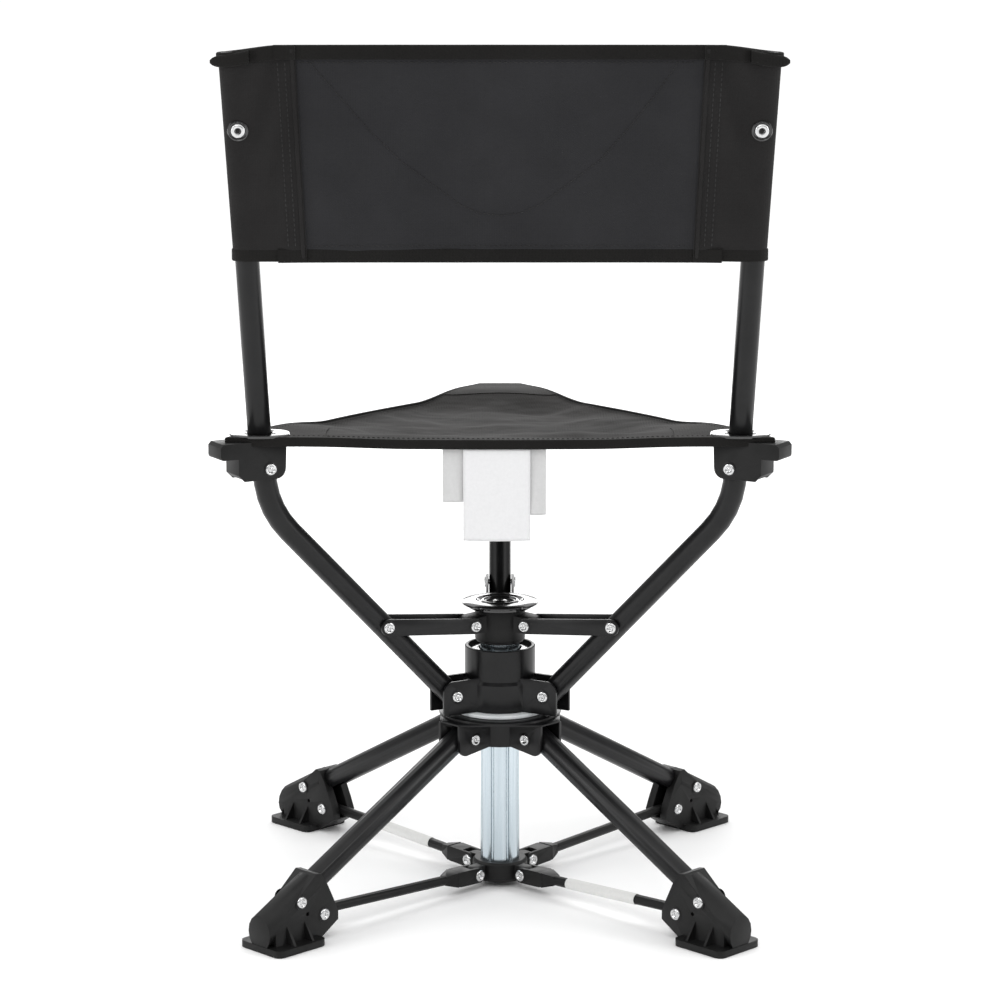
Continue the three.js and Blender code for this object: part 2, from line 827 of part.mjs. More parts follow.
// A flat box bent into a sheet: place(u, v) gives a point of its middle surface and a half
// thickness along the given direction. u and v run from 0 to 1.
function sheet(across, down, direction, place) {
  const geometry = new THREE.BoxGeometry(1, 1, 1, across, down, 1);
  const position = geometry.getAttribute("position");
  for (let i = 0; i < position.count; i++) {
    const u = position.getX(i) + 0.5;
    const v = position.getY(i) + 0.5;
    const { at, half } = place(u, v);
    const w = 2 * position.getZ(i) * half;
    position.setXYZ(i, at[0] + direction[0] * w, at[1] + direction[1] * w, at[2] + direction[2] * w);
  }
  return solid(geometry);
}

const smooth = (t) => {
  const c = Math.min(1, Math.max(0, t));
  return c * c * (3 - 2 * c);
};

// The seat's middle surface at u across (-1 to 1) and v from rear (0) to front (1). It lies flat
// on its three brackets and hangs between them.
function seatPoint(u, v) {
  const s = seat;
  const half = s.frontHalf + (s.rearHalf - s.frontHalf) * Math.pow(1 - v, 1.18);
  const x = u * half;
  const y = s.rearY + (s.frontY - s.rearY) * v;
  const pads = [
    [tubeFoot[0], tubeFoot[1]],
    [-tubeFoot[0], tubeFoot[1]],
    [0, bracket.pin[0]],
  ];
  const nearest = Math.min(...pads.map(([px, py]) => Math.hypot(x - px, y - py)));
  const free = smooth((nearest - s.padFlat) / s.padFade);
  const level = s.under + s.thick / 2 - s.frontDrop * Math.pow(Math.max(0, y / 300), 1.35);
  const inside = smooth(v / 0.35);
  const middle = s.centreSag * (1 - Math.pow(Math.abs(u), 2.4)) * inside;
  const edge = s.edgeSag * u * u * inside + s.hemSag * (1 - u * u) * (1 - inside);
  return { at: [x, y, level - free * (middle + edge)], half: s.thick / 2 };
}

function makeSeat() {
  const body = sheet(12, 13, [0, 0, 1], (u, v) => seatPoint(2 * u - 1, v));
  const bottom = backTube.base - 30;
  return cut(
    body,
    leaning(seat.tubeHole, bottom, bottom + 80, -1),
    leaning(seat.tubeHole, bottom, bottom + 80, 1),
  );
}

function makeBack() {
  const b = back;
  const body = sheet(22, 3, [0, -1, 0], (u, v) => {
    const s = 2 * u - 1;
    const z = b.bottom + (b.top - b.bottom) * v;
    const half = b.halfBottom + (b.halfTop - b.halfBottom) * v;
    const across = s * half;
    const fromEdge = half - Math.abs(across);
    const t = Math.min(1, Math.max(0, (fromEdge - b.sleeveWidth) / 26));
    const blend = t * t * (3 - 2 * t);
    const edge = Math.sqrt(Math.min(1, fromEdge / 12));
    const thick = b.sleeveHalf * (0.45 + 0.55 * edge) * (1 - blend) + b.panel * blend;
    const offset = -(b.sleeveHalf - b.panel) * blend;
    return { at: [across, b.planeY + b.lean * (z - b.planeZ) + offset, z], half: thick };
  });
  const start = b.bottom - 10;
  const end = backTube.top + 2.8;
  return cut(
    body,
    leaning(b.channel, start, end, -1),
    leaning(b.channel, start, end, 1),
  );
}

add("seat_sling", makeSeat(), mesh);
add("backrest_sling", makeBack(), mesh);
add("care_tag", box([-34, -144.2, 374], [28, -143.2, 462]), label);

// ---- place the group: floor at z = 0, the bounding box's middle on the z axis ----

chair.updateMatrixWorld(true);
const bounds = new THREE.Box3();
chair.traverse((piece) => {
  if (piece.isMesh) bounds.expandByObject(piece, true);
});
const middle = bounds.getCenter(new THREE.Vector3());
chair.position.set(-middle.x, -middle.y, -bounds.min.z);
chair.updateMatrixWorld(true);

export default chair;
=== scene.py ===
"""The finish of a folding swivel chair: slings, bindings, stitching, rivets, flutes and surfaces.

Sizes are in millimetres unless a name says otherwise. The sitter faces +Y.
"""

import math

import bmesh
import bpy
from mathutils import Matrix, Vector, noise


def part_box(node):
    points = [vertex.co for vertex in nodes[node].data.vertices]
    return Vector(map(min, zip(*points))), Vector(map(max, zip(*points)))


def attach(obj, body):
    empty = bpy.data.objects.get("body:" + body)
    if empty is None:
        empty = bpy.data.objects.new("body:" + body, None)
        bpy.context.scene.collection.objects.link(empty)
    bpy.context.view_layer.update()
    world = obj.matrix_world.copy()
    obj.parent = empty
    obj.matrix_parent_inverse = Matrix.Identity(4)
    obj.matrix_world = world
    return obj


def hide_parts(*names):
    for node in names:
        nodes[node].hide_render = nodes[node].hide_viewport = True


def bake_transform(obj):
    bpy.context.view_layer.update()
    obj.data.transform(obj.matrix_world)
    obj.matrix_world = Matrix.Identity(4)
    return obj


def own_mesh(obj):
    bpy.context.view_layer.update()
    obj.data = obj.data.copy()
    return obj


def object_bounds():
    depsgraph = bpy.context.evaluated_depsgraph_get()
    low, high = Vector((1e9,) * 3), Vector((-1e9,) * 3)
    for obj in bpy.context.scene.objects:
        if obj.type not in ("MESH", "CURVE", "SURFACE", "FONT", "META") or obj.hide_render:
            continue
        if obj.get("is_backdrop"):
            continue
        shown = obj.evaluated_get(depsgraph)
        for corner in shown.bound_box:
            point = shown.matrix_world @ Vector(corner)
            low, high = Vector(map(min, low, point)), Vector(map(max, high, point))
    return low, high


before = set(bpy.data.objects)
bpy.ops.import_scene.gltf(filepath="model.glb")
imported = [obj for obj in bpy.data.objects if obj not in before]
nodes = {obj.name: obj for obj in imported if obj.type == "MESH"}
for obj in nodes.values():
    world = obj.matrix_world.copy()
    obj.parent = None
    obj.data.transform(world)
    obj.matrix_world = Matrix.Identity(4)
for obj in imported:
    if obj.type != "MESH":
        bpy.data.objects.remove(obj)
cad_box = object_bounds()
MM = 0.001

# ---- driving sizes ----

LEG_ANGLES = {"rear_left": 225, "rear_right": 315, "front_right": 45, "front_left": 135}
ARM_ANGLES = {"rear_left": 210, "rear_right": 330, "front": 90}
post_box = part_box("center_post")
SWIVEL_Y = (post_box[0][1] + post_box[1][1]) / 2 / MM

# Pivots, as radius from the swivel axis and height, and half the width under the rivet heads
LEG_HINGE = (48.3, 155.3, 14.6)
FOOT_RIVET = (275.1, 42.5, 15)
STRETCHER_HINGE = (36.8, 14.4, 9)
STRETCHER_FOOT = (246.5, 24.7, 14.5)
ARM_HINGE = (55.8, 196.8, 14.6)
LINK_INNER = (34.7, 264.1, 14)
LINK_OUTER = (129.7, 273.8, 14)
BRACKET_PIN = (252.5, 438.7, 14)
RIVET_THICK = 1.8
RIVET_SHANK = 3.0
RIVET_SIDES = 28
RIVET_LIFT = 0.15  # how far a head stands off the part under it

# Post
POST_RADIUS = 19.1
POST_BORE = 16.5
FLUTES = 8
FLUTE_DEPTH = 1.5
FLUTE_HALF = 1.5

# Back tubes
BACK_TUBE_RADIUS = 256.7
BACK_TUBE_BASE = 465.2
BACK_LEAN = -0.175
BACK_SPREAD = 0.041
HOLE_RADIUS = 11.9  # of the seat's hole round a back tube

# Seat sling
SEAT_UNDER = 466
SEAT_THICK = 1.6
SEAT_REAR = -147
SEAT_FRONT = 290
SEAT_REAR_HALF = 252
SEAT_FRONT_HALF = 22
SEAT_LIFT = 1.5
SEAT_NOSE_DROP = 18.9
NOSE_REACH = 300
NOSE_CURVE = 1.35
SEAT_TAPER = 1.18
SEAT_SAG = 18
SEAT_EDGE_SAG = 8
SEAT_HEM_SAG = 2.6
PAD_FLAT = 38
PAD_FADE = 100
PLATE_LEVEL = 469.6
HEM_TALL = 9
HEM_THICK = 3.6
FOLD_HEIGHT = 2.0
FOLD_START = 60  # folds fan out from a corner between these distances
FOLD_STOP = 260
PATCH_THICK = 0.8
PATCH_LIFT = 0.45  # a patch's middle above the seat cloth's top
SEAT_STITCH_LIFT = 1.5

# Where the seat's cloth would bend as the chair folds, as distances from the swivel axis; nothing
# here bends it, and the cloth is cut at CENTRE_END
CENTRE_START = 70
CENTRE_END = 150
CORNER_END = 232

# Backrest sling
BACK_PLANE_Y = -129.3
BACK_PLANE_Z = 460
BACK_BOTTOM = 636
BACK_TOP = 830
BACK_HALF_TOP = 250
BACK_HALF_BOTTOM = 241.5
SLEEVE_SEAM_TOP = 187
SLEEVE_SEAM_BOTTOM = 180
SLEEVE_RADIUS = 12.9
SLEEVE_THICK = 1.3
PANEL_THICK = 1.6
PANEL_OFFSET = -11.6
PANEL_DISH = 2.0
STITCH_INSET = 14  # from the panel's top and bottom edges
SNAP_X = 233
SNAP_Z = 755
SPLIT_X = 200
BINDING_TALL = 13
BINDING_INSET = 5  # the tapes' middles from the panel's top and bottom edges
TOP_DROP = 7  # how much lower the sleeves' outer top corners are than the panel's edge
DROP_START = 190
DROP_RUN = 60
PIPING_START = 222
PIPING_END = 256.5
BACK_NORMAL = (0, -1, BACK_LEAN)

# Studio
FLOOR_REACH = 60000
FLOOR_DROP = 0.4  # the floor lies this far under the feet
SKY_LIGHT = 1.42
CAMERA_LENS = 118.94
CAMERA_AWAY = 3141.5
CAMERA_HEIGHT = 990
CAMERA_TILT = 79.065  # degrees up from straight down

WAVE_REPEAT = 314.16  # a wave texture of scale 1 repeats after this many mm


# ---- surfaces ----


def linear(hex_colour):
    """An sRGB hex colour as linear RGBA."""
    out = []
    for i in (0, 2, 4):
        c = int(hex_colour[i : i + 2], 16) / 255
        out.append(c / 12.92 if c <= 0.04045 else ((c + 0.055) / 1.055) ** 2.4)
    return (*out, 1)


def add_node(tree, kind, settings=None, inputs=None):
    """Adds a node with its settings, and gives its inputs values or links."""
    made = tree.nodes.new(kind)
    for key, value in (settings or {}).items():
        setattr(made, key, value)
    for key, value in (inputs or {}).items():
        if isinstance(value, bpy.types.NodeSocket):
            tree.links.new(value, made.inputs[key])
        else:
            made.inputs[key].default_value = value
    return made


def start_material(name, **sockets):
    """A material with a principled surface; returns it, its tree, its surface and its position."""
    material = bpy.data.materials.new(name)
    material.use_nodes = True
    tree = material.node_tree
    surface = tree.nodes["Principled BSDF"]
    for key, value in sockets.items():
        surface.inputs[key.replace("_", " ")].default_value = value
    place = add_node(tree, "ShaderNodeTexCoord")
    return material, tree, surface, place.outputs["Object"]


def mottle(tree, surface, place, dark, light, size_mm, low=0.35, high=0.65):
    """Varies the base colour between two near tones over patches of about size_mm."""
    cloud = add_node(
        tree,
        "ShaderNodeTexNoise",
        inputs={"Vector": place, "Scale": 1000 / size_mm, "Detail": 4.0, "Roughness": 0.55},
    )
    ramp = add_node(tree, "ShaderNodeValToRGB", inputs={"Fac": cloud.outputs["Fac"]})
    ramp.color_ramp.elements[0].position = low
    ramp.color_ramp.elements[1].position = high
    ramp.color_ramp.elements[0].color = linear(dark)
    ramp.color_ramp.elements[1].color = linear(light)
    tree.links.new(ramp.outputs["Color"], surface.inputs["Base Color"])


def grain(tree, surface, place, size_mm, depth_mm, strength):
    """A bump of grains about size_mm across and depth_mm deep."""
    bumps = add_node(
        tree,
        "ShaderNodeTexNoise",
        inputs={"Vector": place, "Scale": 1000 / size_mm, "Detail": 2.0},
    )
    bump = add_node(
        tree,
        "ShaderNodeBump",
        inputs={"Height": bumps.outputs["Fac"], "Strength": strength, "Distance": depth_mm * MM},
    )
    tree.links.new(bump.outputs["Normal"], surface.inputs["Normal"])


def powder_coated_steel():
    """Black polyester powder baked on steel: satin, with a faint orange peel."""
    m, tree, surface, place = start_material(
        "powder_coated_steel", Roughness=0.31, IOR=1.5, Specular_IOR_Level=0.3
    )
    mottle(tree, surface, place, "0e0e0f", "141415", 22)
    grain(tree, surface, place, 1.6, 0.05, 0.5)
    return m


def glass_filled_nylon():
    """Black nylon moulded with glass fibre: matte, with a fine spark-eroded grain."""
    m, tree, surface, place = start_material(
        "glass_filled_nylon", Roughness=0.47, IOR=1.53, Specular_IOR_Level=0.25
    )
    mottle(tree, surface, place, "0d0d0d", "131313", 14)
    grain(tree, surface, place, 0.9, 0.05, 0.6)
    return m


def glossy_abs():
    """Black ABS from a polished mould: a mirror-like skin over a deep black."""
    m, tree, surface, place = start_material(
        "glossy_abs", Roughness=0.13, IOR=1.54, Coat_Weight=0.6, Coat_Roughness=0.06
    )
    mottle(tree, surface, place, "0d0d0e", "151516", 18)
    grain(tree, surface, place, 9, 0.04, 0.35)
    return m


def bright_zinc():
    """Drawn steel tube with clear zinc plating: bluish, with fine streaks along its length."""
    m, tree, surface, place = start_material("bright_zinc", Roughness=0.24, Metallic=1.0)
    stretch = add_node(
        tree, "ShaderNodeMapping", inputs={"Vector": place, "Scale": (1.0, 1.0, 0.03)}
    )
    mottle(tree, surface, stretch.outputs["Vector"], "c0ccd3", "cfd9df", 3.5)
    grain(tree, surface, stretch.outputs["Vector"], 0.9, 0.008, 0.3)
    return m


def nickel_plated_rivet():
    """Nickel-plated steel, set by a press: bright, with small dings."""
    m, tree, surface, place = start_material("nickel_plated_rivet", Roughness=0.2, Metallic=1.0)
    mottle(tree, surface, place, "c6c7c8", "d8d8d8", 3)
    grain(tree, surface, place, 2.6, 0.02, 0.3)
    return m


def acetal():
    """Turned white acetal: waxy and slightly cool."""
    m, tree, surface, place = start_material("acetal", Roughness=0.35, IOR=1.48)
    mottle(tree, surface, place, "dfe4e6", "f0f3f4", 12)
    grain(tree, surface, place, 0.6, 0.02, 0.3)
    return m


def woven(name, dark, light, thread_mm, roughness, sheen, depth_mm, wrinkle_mm=0.0):
    """A plain weave: two sets of threads that cross, with slow changes of tone and wrinkles."""
    m, tree, surface, place = start_material(
        name,
        Roughness=roughness,
        IOR=1.5,
        Sheen_Weight=sheen,
        Sheen_Roughness=0.45,
        Specular_IOR_Level=0.15,
    )
    mottle(tree, surface, place, dark, light, 60, 0.3, 0.7)
    bands = []
    for direction in ("X", "Z"):
        wave = add_node(
            tree,
            "ShaderNodeTexWave",
            {"wave_type": "BANDS", "bands_direction": direction, "wave_profile": "SIN"},
            {
                "Vector": place,
                "Scale": WAVE_REPEAT / (2 * thread_mm),
                "Distortion": 0.6,
                "Detail": 1.0,
                "Detail Scale": 2.0,
            },
        )
        bands.append(wave.outputs["Fac"])
    cross = add_node(
        tree, "ShaderNodeMath", {"operation": "MULTIPLY"}, {0: bands[0], 1: bands[1]}
    )
    threads = add_node(
        tree,
        "ShaderNodeBump",
        inputs={"Height": cross.outputs[0], "Strength": 0.7, "Distance": depth_mm * MM},
    )
    last = threads.outputs["Normal"]
    if wrinkle_mm:
        stretch = add_node(
            tree, "ShaderNodeMapping", inputs={"Vector": place, "Scale": (1.0, 1.0, 0.45)}
        )
        folds = add_node(
            tree,
            "ShaderNodeTexNoise",
            inputs={"Vector": stretch.outputs["Vector"], "Scale": 22.0, "Detail": 3.0},
        )
        soft = add_node(
            tree,
            "ShaderNodeBump",
            inputs={
                "Height": folds.outputs["Fac"],
                "Strength": 0.6,
                "Distance": wrinkle_mm * MM,
                "Normal": last,
            },
        )
        last = soft.outputs["Normal"]
    tree.links.new(last, surface.inputs["Normal"])
    return m


def plain_label(name, dark, light):
    """Blank label cloth or vinyl: pale and matt, with a fine grain."""
    m, tree, surface, place = start_material(name, Roughness=0.7, IOR=1.46)
    mottle(tree, surface, place, dark, light, 3, 0.2, 0.8)
    grain(tree, surface, place, 0.8, 0.06, 0.4)
    return m


POWDER = powder_coated_steel()
NYLON = glass_filled_nylon()
GLOSS = glossy_abs()
ZINC = bright_zinc()
NICKEL = nickel_plated_rivet()
ACETAL = acetal()
# Coated polyester: threads of about 0.5 mm, drawn at 1.1 mm so that they show.
BACK_CLOTH = woven("backrest_oxford_cloth", "232325", "28282a", 1.1, 0.72, 0.04, 0.18, 2.0)
SLEEVE_CLOTH = woven("sleeve_oxford_cloth", "1c1b1b", "222121", 1.1, 0.76, 0.04, 0.2, 6.0)
SEAT_CLOTH = woven("seat_oxford_cloth", "1e1d1c", "272524", 1.3, 0.8, 0.05, 0.3, 3.0)
# Binding tape has ribs about 1.5 mm apart.
TAPE = woven("grosgrain_binding", "100f0e", "161514", 1.5, 0.7, 0.04, 0.3)
THREAD = woven("bonded_thread", "242424", "333333", 0.6, 0.55, 0.04, 0.1)
LABEL = plain_label("white_label_cloth", "dadadb", "e1e1e2")
GREY_LABEL = plain_label("grey_label_cloth", "c3c3c3", "cbcbcb")
BAND = plain_label("white_vinyl_band", "dcdcda", "e3e3e1")


# ---- meshes ----


def hand(side):
    """The name of a side: -1 is left and 1 is right."""
    return "left" if side < 0 else "right"


def back_body(side):
    """The body that a back tube and its end of the backrest move with."""
    return "bracket_rear_" + hand(side) + "_body"


def make_object(name, verts, faces, material, smooth=True):
    """A mesh object from points in millimetres measured from the swivel axis."""
    mesh = bpy.data.meshes.new(name)
    points = [(x * MM, (y + SWIVEL_Y) * MM, z * MM) for x, y, z in verts]
    mesh.from_pydata(points, [], faces)
    mesh.materials.append(material)
    bm = bmesh.new()
    bm.from_mesh(mesh)
    bmesh.ops.recalc_face_normals(bm, faces=bm.faces)
    bm.to_mesh(mesh)
    bm.free()
    for polygon in mesh.polygons:
        polygon.use_smooth = smooth
    obj = bpy.data.objects.new(name, mesh)
    bpy.context.scene.collection.objects.link(obj)
    return obj


def sharpen(obj, degrees):
    """Splits shading at edges sharper than this."""
    split = obj.modifiers.new("crisp edges", "EDGE_SPLIT")
    split.split_angle = math.radians(degrees)
    return obj


def merge_points(obj, distance):
    """Merges points closer than a distance in metres, and drops faces that vanish."""
    bm = bmesh.new()
    bm.from_mesh(obj.data)
    bmesh.ops.remove_doubles(bm, verts=bm.verts, dist=distance)
    bmesh.ops.dissolve_degenerate(bm, edges=bm.edges, dist=1e-7)
    bmesh.ops.recalc_face_normals(bm, faces=bm.faces)
    bm.to_mesh(obj.data)
    bm.free()


def ring_faces(rings, count, closed=False):
    """Faces between rings of count points each; a run that isn't closed is capped at its ends."""
    faces = []
    for k in range(rings if closed else rings - 1):
        n = (k + 1) % rings
        for i in range(count):
            j = (i + 1) % count
            faces.append((k * count + i, k * count + j, n * count + j, n * count + i))
    if not closed:
        faces.append(tuple(range(count)))
        faces.append(tuple((rings - 1) * count + i for i in reversed(range(count))))
    return faces


def turned(profile, sides, matrix):
    """Points and faces of a body turned from a closed [radius, height] profile about local Z."""
    verts, faces = [], []
    count = len(profile)
    for i in range(sides):
        a = 2 * math.pi * i / sides
        for r, z in profile:
            verts.append(matrix @ Vector((r * math.cos(a), r * math.sin(a), z)))
    for i in range(sides):
        j = (i + 1) % sides
        for k in range(count - 1):
            faces.append((i * count + k, j * count + k, j * count + k + 1, i * count + k + 1))
    return verts, faces


def closed_turned(name, profile, sides, matrix, material, ring=False):
    """A turned body: a ring joins its profile's ends, and a solid one meets the axis."""
    points = list(profile)
    if ring:
        points.append(points[0])
    verts, faces = turned(points, sides, matrix)
    obj = make_object(name, verts, faces, material)
    merge_points(obj, 1e-6)
    return sharpen(obj, 38)


def radial(azimuth, radius, height, sideways=0.0):
    """A frame at a radius and height, X outward and Y sideways, for a leg or an arm."""
    turn = Matrix.Rotation(math.radians(azimuth), 4, "Z")
    return turn @ Matrix.Translation((radius, sideways, height))


def smooth_step(t):
    """Eases from 0 to 1 as t does, and stays there outside."""
    c = min(1.0, max(0.0, t))
    return c * c * (3 - 2 * c)


# ---- carried-over frame parts ----

FINISH = {
    "leg_hub": POWDER,
    "swivel_sleeve": POWDER,
    "thrust_washer": ACETAL,
    "sleeve_retainer": GLOSS,
    "arm_hub": POWDER,
    "post_stop_ring": POWDER,
    "bottom_hub": NYLON,
    "collar": NYLON,
}
for name in nodes:
    if "rivet" in name:
        continue
    if name.startswith(("leg_tube_", "link_", "arm_tube_", "back_tube_")):
        FINISH[name] = POWDER
    if name.startswith(("foot_", "stretcher_", "bracket_", "back_tube_cap_")):
        FINISH[name] = NYLON


def edge_softness(name):
    """How wide a part's edges are rounded: least on tubes, and most on moulded brackets."""
    if "tube" in name:
        return 0.5
    if "bracket" in name:
        return 1.6
    return 0.8


for name, finish in FINISH.items():
    part = nodes[name]
    part.data.materials.clear()
    part.data.materials.append(finish)
    for polygon in part.data.polygons:
        polygon.use_smooth = True
    weld = part.modifiers.new("join faces", "WELD")
    weld.merge_threshold = 0.02 * MM
    soften = part.modifiers.new("soft edges", "BEVEL")
    soften.width = edge_softness(name) * MM
    soften.segments = 2
    soften.limit_method = "ANGLE"
    soften.angle_limit = math.radians(48)
    soften.use_clamp_overlap = True
    sharpen(part, 40)

# ---- rivets ----

RIVET_PROFILE = [
    (0.0, 0.9),
    (0.7, 0.8),
    (1.3, 0.25),
    (2.2, 0.15),
    (2.9, 0.6),
    (3.4, 1.55),
    (3.9, RIVET_THICK),
    (4.7, 1.7),
    (5.3, 1.3),
    (5.7, 0.6),
    (5.7, 0.0),
    (RIVET_SHANK, 0.0),
]
# A black ring under each rivet head, put where the gap round the head lies in shade: painted shade.
RIVET_SHADE_RING = [(5.2, -0.1), (6.3, -0.1), (6.9, 0.05), (6.9, 0.3), (6.3, 0.45), (5.2, 0.45)]


def rivet_face(azimuth, radius, height, sideways, side):
    """A frame on one face of a pivot, with Z out along the rivet."""
    tilt = Matrix.Rotation(math.radians(-90 * side), 4, "X")
    return radial(azimuth, radius, height, side * sideways) @ tilt


def rivet(name, at, azimuth, body, node=None):
    """A pressed rivet through a pivot, with a dished head at each end; a black ring under each head
    is painted shade for the shaded gap round it.
    """
    radius, height, half = at
    verts, faces = [], []
    for side in (1, -1):
        face = rivet_face(azimuth, radius, height, half + RIVET_LIFT, side)
        shank_end = (RIVET_SHANK, -half - RIVET_LIFT)
        more, made = turned(RIVET_PROFILE + [shank_end], RIVET_SIDES, face)
        faces += [tuple(i + len(verts) for i in f) for f in made]
        verts += more
    obj = make_object(name, verts, faces, NICKEL)
    merge_points(obj, 2e-6)
    sharpen(obj, 50)
    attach(obj, body)
    if node:
        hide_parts(node)
    # The black rings round the heads are painted shade: they stand in for the shaded gap round each
    # head.
    for side, end in ((1, "left"), (-1, "right")):
        face = rivet_face(azimuth, radius, height, half, side)
        shade_ring_name = name + "_seat_" + end
        ring = closed_turned(shade_ring_name, RIVET_SHADE_RING, RIVET_SIDES, face, POWDER, ring=True)
        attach(ring, body)


for side, azimuth in LEG_ANGLES.items():
    rivet("leg_pivot_rivet_" + side, LEG_HINGE, azimuth, "base", "leg_hinge_rivet_" + side)
    rivet("foot_fixing_rivet_" + side, FOOT_RIVET, azimuth, "leg_" + side, "foot_rivet_" + side)
    rivet("foot_pivot_rivet_" + side, STRETCHER_FOOT, azimuth, "leg_" + side)
    rivet("fork_rivet_" + side, STRETCHER_HINGE, azimuth, "post", "stretcher_rivet_" + side)
for side, azimuth in ARM_ANGLES.items():
    bracket_body = "bracket_" + side + "_body"
    rivet("arm_pivot_rivet_" + side, ARM_HINGE, azimuth, "seat_hub", "arm_hinge_rivet_" + side)
    rivet("collar_pivot_rivet_" + side, LINK_INNER, azimuth, "collar_body", "link_rivet_" + side)
    rivet("link_end_rivet_" + side, LINK_OUTER, azimuth, "arm_" + side)
    rivet("bracket_pin_" + side, BRACKET_PIN, azimuth, bracket_body, "bracket_rivet_" + side)

# ---- post and disc cap ----


def flute_depth(angle):
    """How deep the post's surface is cut at an angle."""
    step = 2 * math.pi / FLUTES
    off = (angle - step / 2) % step
    off = min(off, step - off) * POST_RADIUS
    if off >= FLUTE_HALF:
        return 0.0
    return FLUTE_DEPTH * math.sqrt(1 - (off / FLUTE_HALF) ** 2)


def fluted_post():
    """The post's tube, with shallow round flutes down its length."""
    bottom, top = post_box[0][2] / MM, post_box[1][2] / MM
    sides = 384
    verts = []
    for fluted, z in ((True, bottom), (True, top), (False, top), (False, bottom)):
        for i in range(sides):
            a = 2 * math.pi * i / sides
            r = POST_RADIUS - flute_depth(a) if fluted else POST_BORE
            verts.append((r * math.cos(a), r * math.sin(a), z))
    obj = make_object("fluted_post", verts, ring_faces(4, sides, closed=True), ZINC)
    sharpen(obj, 40)
    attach(obj, "post")
    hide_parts("center_post")


fluted_post()
disc_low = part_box("disc_cap")[0][2] / MM
DISC_PROFILE = [
    (0, 0),
    (30.2, 0),
    (31, 0.6),
    (31, 3.2),
    (35.5, 3.4),
    (37, 4.0),
    (37.5, 4.9),
    (37.2, 5.8),
    (36.2, 6.4),
    (30, 7.1),
    (24.2, 7.5),
    (22.6, 7.3),
    (21.6, 6.3),
    (20.2, 6.0),
    (18.9, 6.4),
    (18.0, 7.3),
    (16.6, 7.6),
    (15.2, 7.3),
    (14.4, 6.2),
    (13.4, 5.9),
    (7, 5.8),
    (6.2, 6.6),
    (4.8, 6.9),
    (0, 6.9),
]
disc = closed_turned("disc_cap_skin", DISC_PROFILE, 96, radial(0, 0, disc_low), GLOSS)
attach(disc, "post")
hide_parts("disc_cap")

# ---- seat sling ----


def tube_foot(side):
    """Where a back tube's axis stands on its bracket."""
    a = math.radians(-30)
    return side * BACK_TUBE_RADIUS * math.cos(a), BACK_TUBE_RADIUS * math.sin(a)


def tube_centre(side, z):
    """Where a back tube's axis is at a height."""
    x, y = tube_foot(side)
    rise = z - BACK_TUBE_BASE
    return x + side * BACK_SPREAD * rise, y + BACK_LEAN * rise


# The seat's three held corners, and how many folds go round each
PADS = [tube_foot(1), tube_foot(-1), (0, BRACKET_PIN[0])]
FOLD_WAVES = (9, 9, 7)


def seat_half(v):
    """Half the seat's width at v from hem (0) to nose (1)."""
    return SEAT_FRONT_HALF + (SEAT_REAR_HALF - SEAT_FRONT_HALF) * (1 - v) ** SEAT_TAPER


def seat_height(u, v):
    """Height of the seat cloth's middle at u across (-1 to 1) and v from hem (0) to nose (1)."""
    half = seat_half(v)
    x, y = u * half, SEAT_REAR + (SEAT_FRONT - SEAT_REAR) * v
    nearest = min(math.hypot(x - px, y - py) for px, py in PADS)
    free = smooth_step((nearest - PAD_FLAT) / PAD_FADE)
    level = SEAT_UNDER + SEAT_LIFT - SEAT_NOSE_DROP * (max(0.0, y) / NOSE_REACH) ** NOSE_CURVE
    inside = smooth_step(v / 0.35)
    middle = SEAT_SAG * (1 - abs(u) ** 2.4) * inside
    edge = SEAT_EDGE_SAG * u * u * inside + SEAT_HEM_SAG * (1 - u * u) * (1 - inside)
    folds = 0.0
    for (px, py), wave in zip(PADS, FOLD_WAVES):
        away = math.hypot(x - px, y - py)
        angle = math.atan2(y - py, x - px)
        fade = smooth_step((away - FOLD_START) / 60) * smooth_step((FOLD_STOP - away) / 120)
        folds += FOLD_HEIGHT * fade * math.sin(wave * angle + 0.7)
    # Broad waves with smaller creases on them, calmed at the side edges and the hem
    rumple = 2.4 * noise.noise(Vector((x * 0.014, y * 0.02, 3.1)))
    rumple += 1.0 * noise.noise(Vector((x * 0.045, y * 0.06, 8.4)))
    calm = (1 - u**6) * smooth_step(v / 0.1)
    folds, rumple = folds * calm, rumple * calm
    return level - free * (middle + edge) + free * (folds + rumple) + SEAT_THICK / 2


def seat_point(u, v, up=0.0):
    """A place on the seat cloth's middle, or above it."""
    y = SEAT_REAR + (SEAT_FRONT - SEAT_REAR) * v
    return (u * seat_half(v), y, seat_height(u, v) + up)


def grid_sheet(name, across, along, point, thick, material):
    """A closed thin sheet over a grid: point(i, j, up) gives a place on its middle surface."""
    verts, faces = [], []
    for up in (thick / 2, -thick / 2):
        for j in range(along + 1):
            for i in range(across + 1):
                verts.append(point(i / across, j / along, up))
    row, layer = across + 1, (across + 1) * (along + 1)
    for j in range(along):
        for i in range(across):
            a = j * row + i
            faces.append((a, a + 1, a + row + 1, a + row))
            faces.append((layer + a, layer + a + row, layer + a + row + 1, layer + a + 1))
    for i in range(across):
        for a in (i, along * row + i):
            faces.append((a, a + 1, layer + a + 1, layer + a))
    for j in range(along):
        for a in (j * row, j * row + across):
            faces.append((a, a + row, layer + a + row, layer + a))
    return make_object(name, verts, faces, material)


def swept(name, path, section, material, closed=False):
    """A bar of a section of [outward, up] points swept along a path of (point, outward) pairs."""
    verts = []
    for at, outward in path:
        for out, up in section:
            verts.append(Vector(at) + Vector(outward) * out + Vector((0, 0, up)))
    faces = ring_faces(len(path), len(section), closed)
    return make_object(name, verts, faces, material)


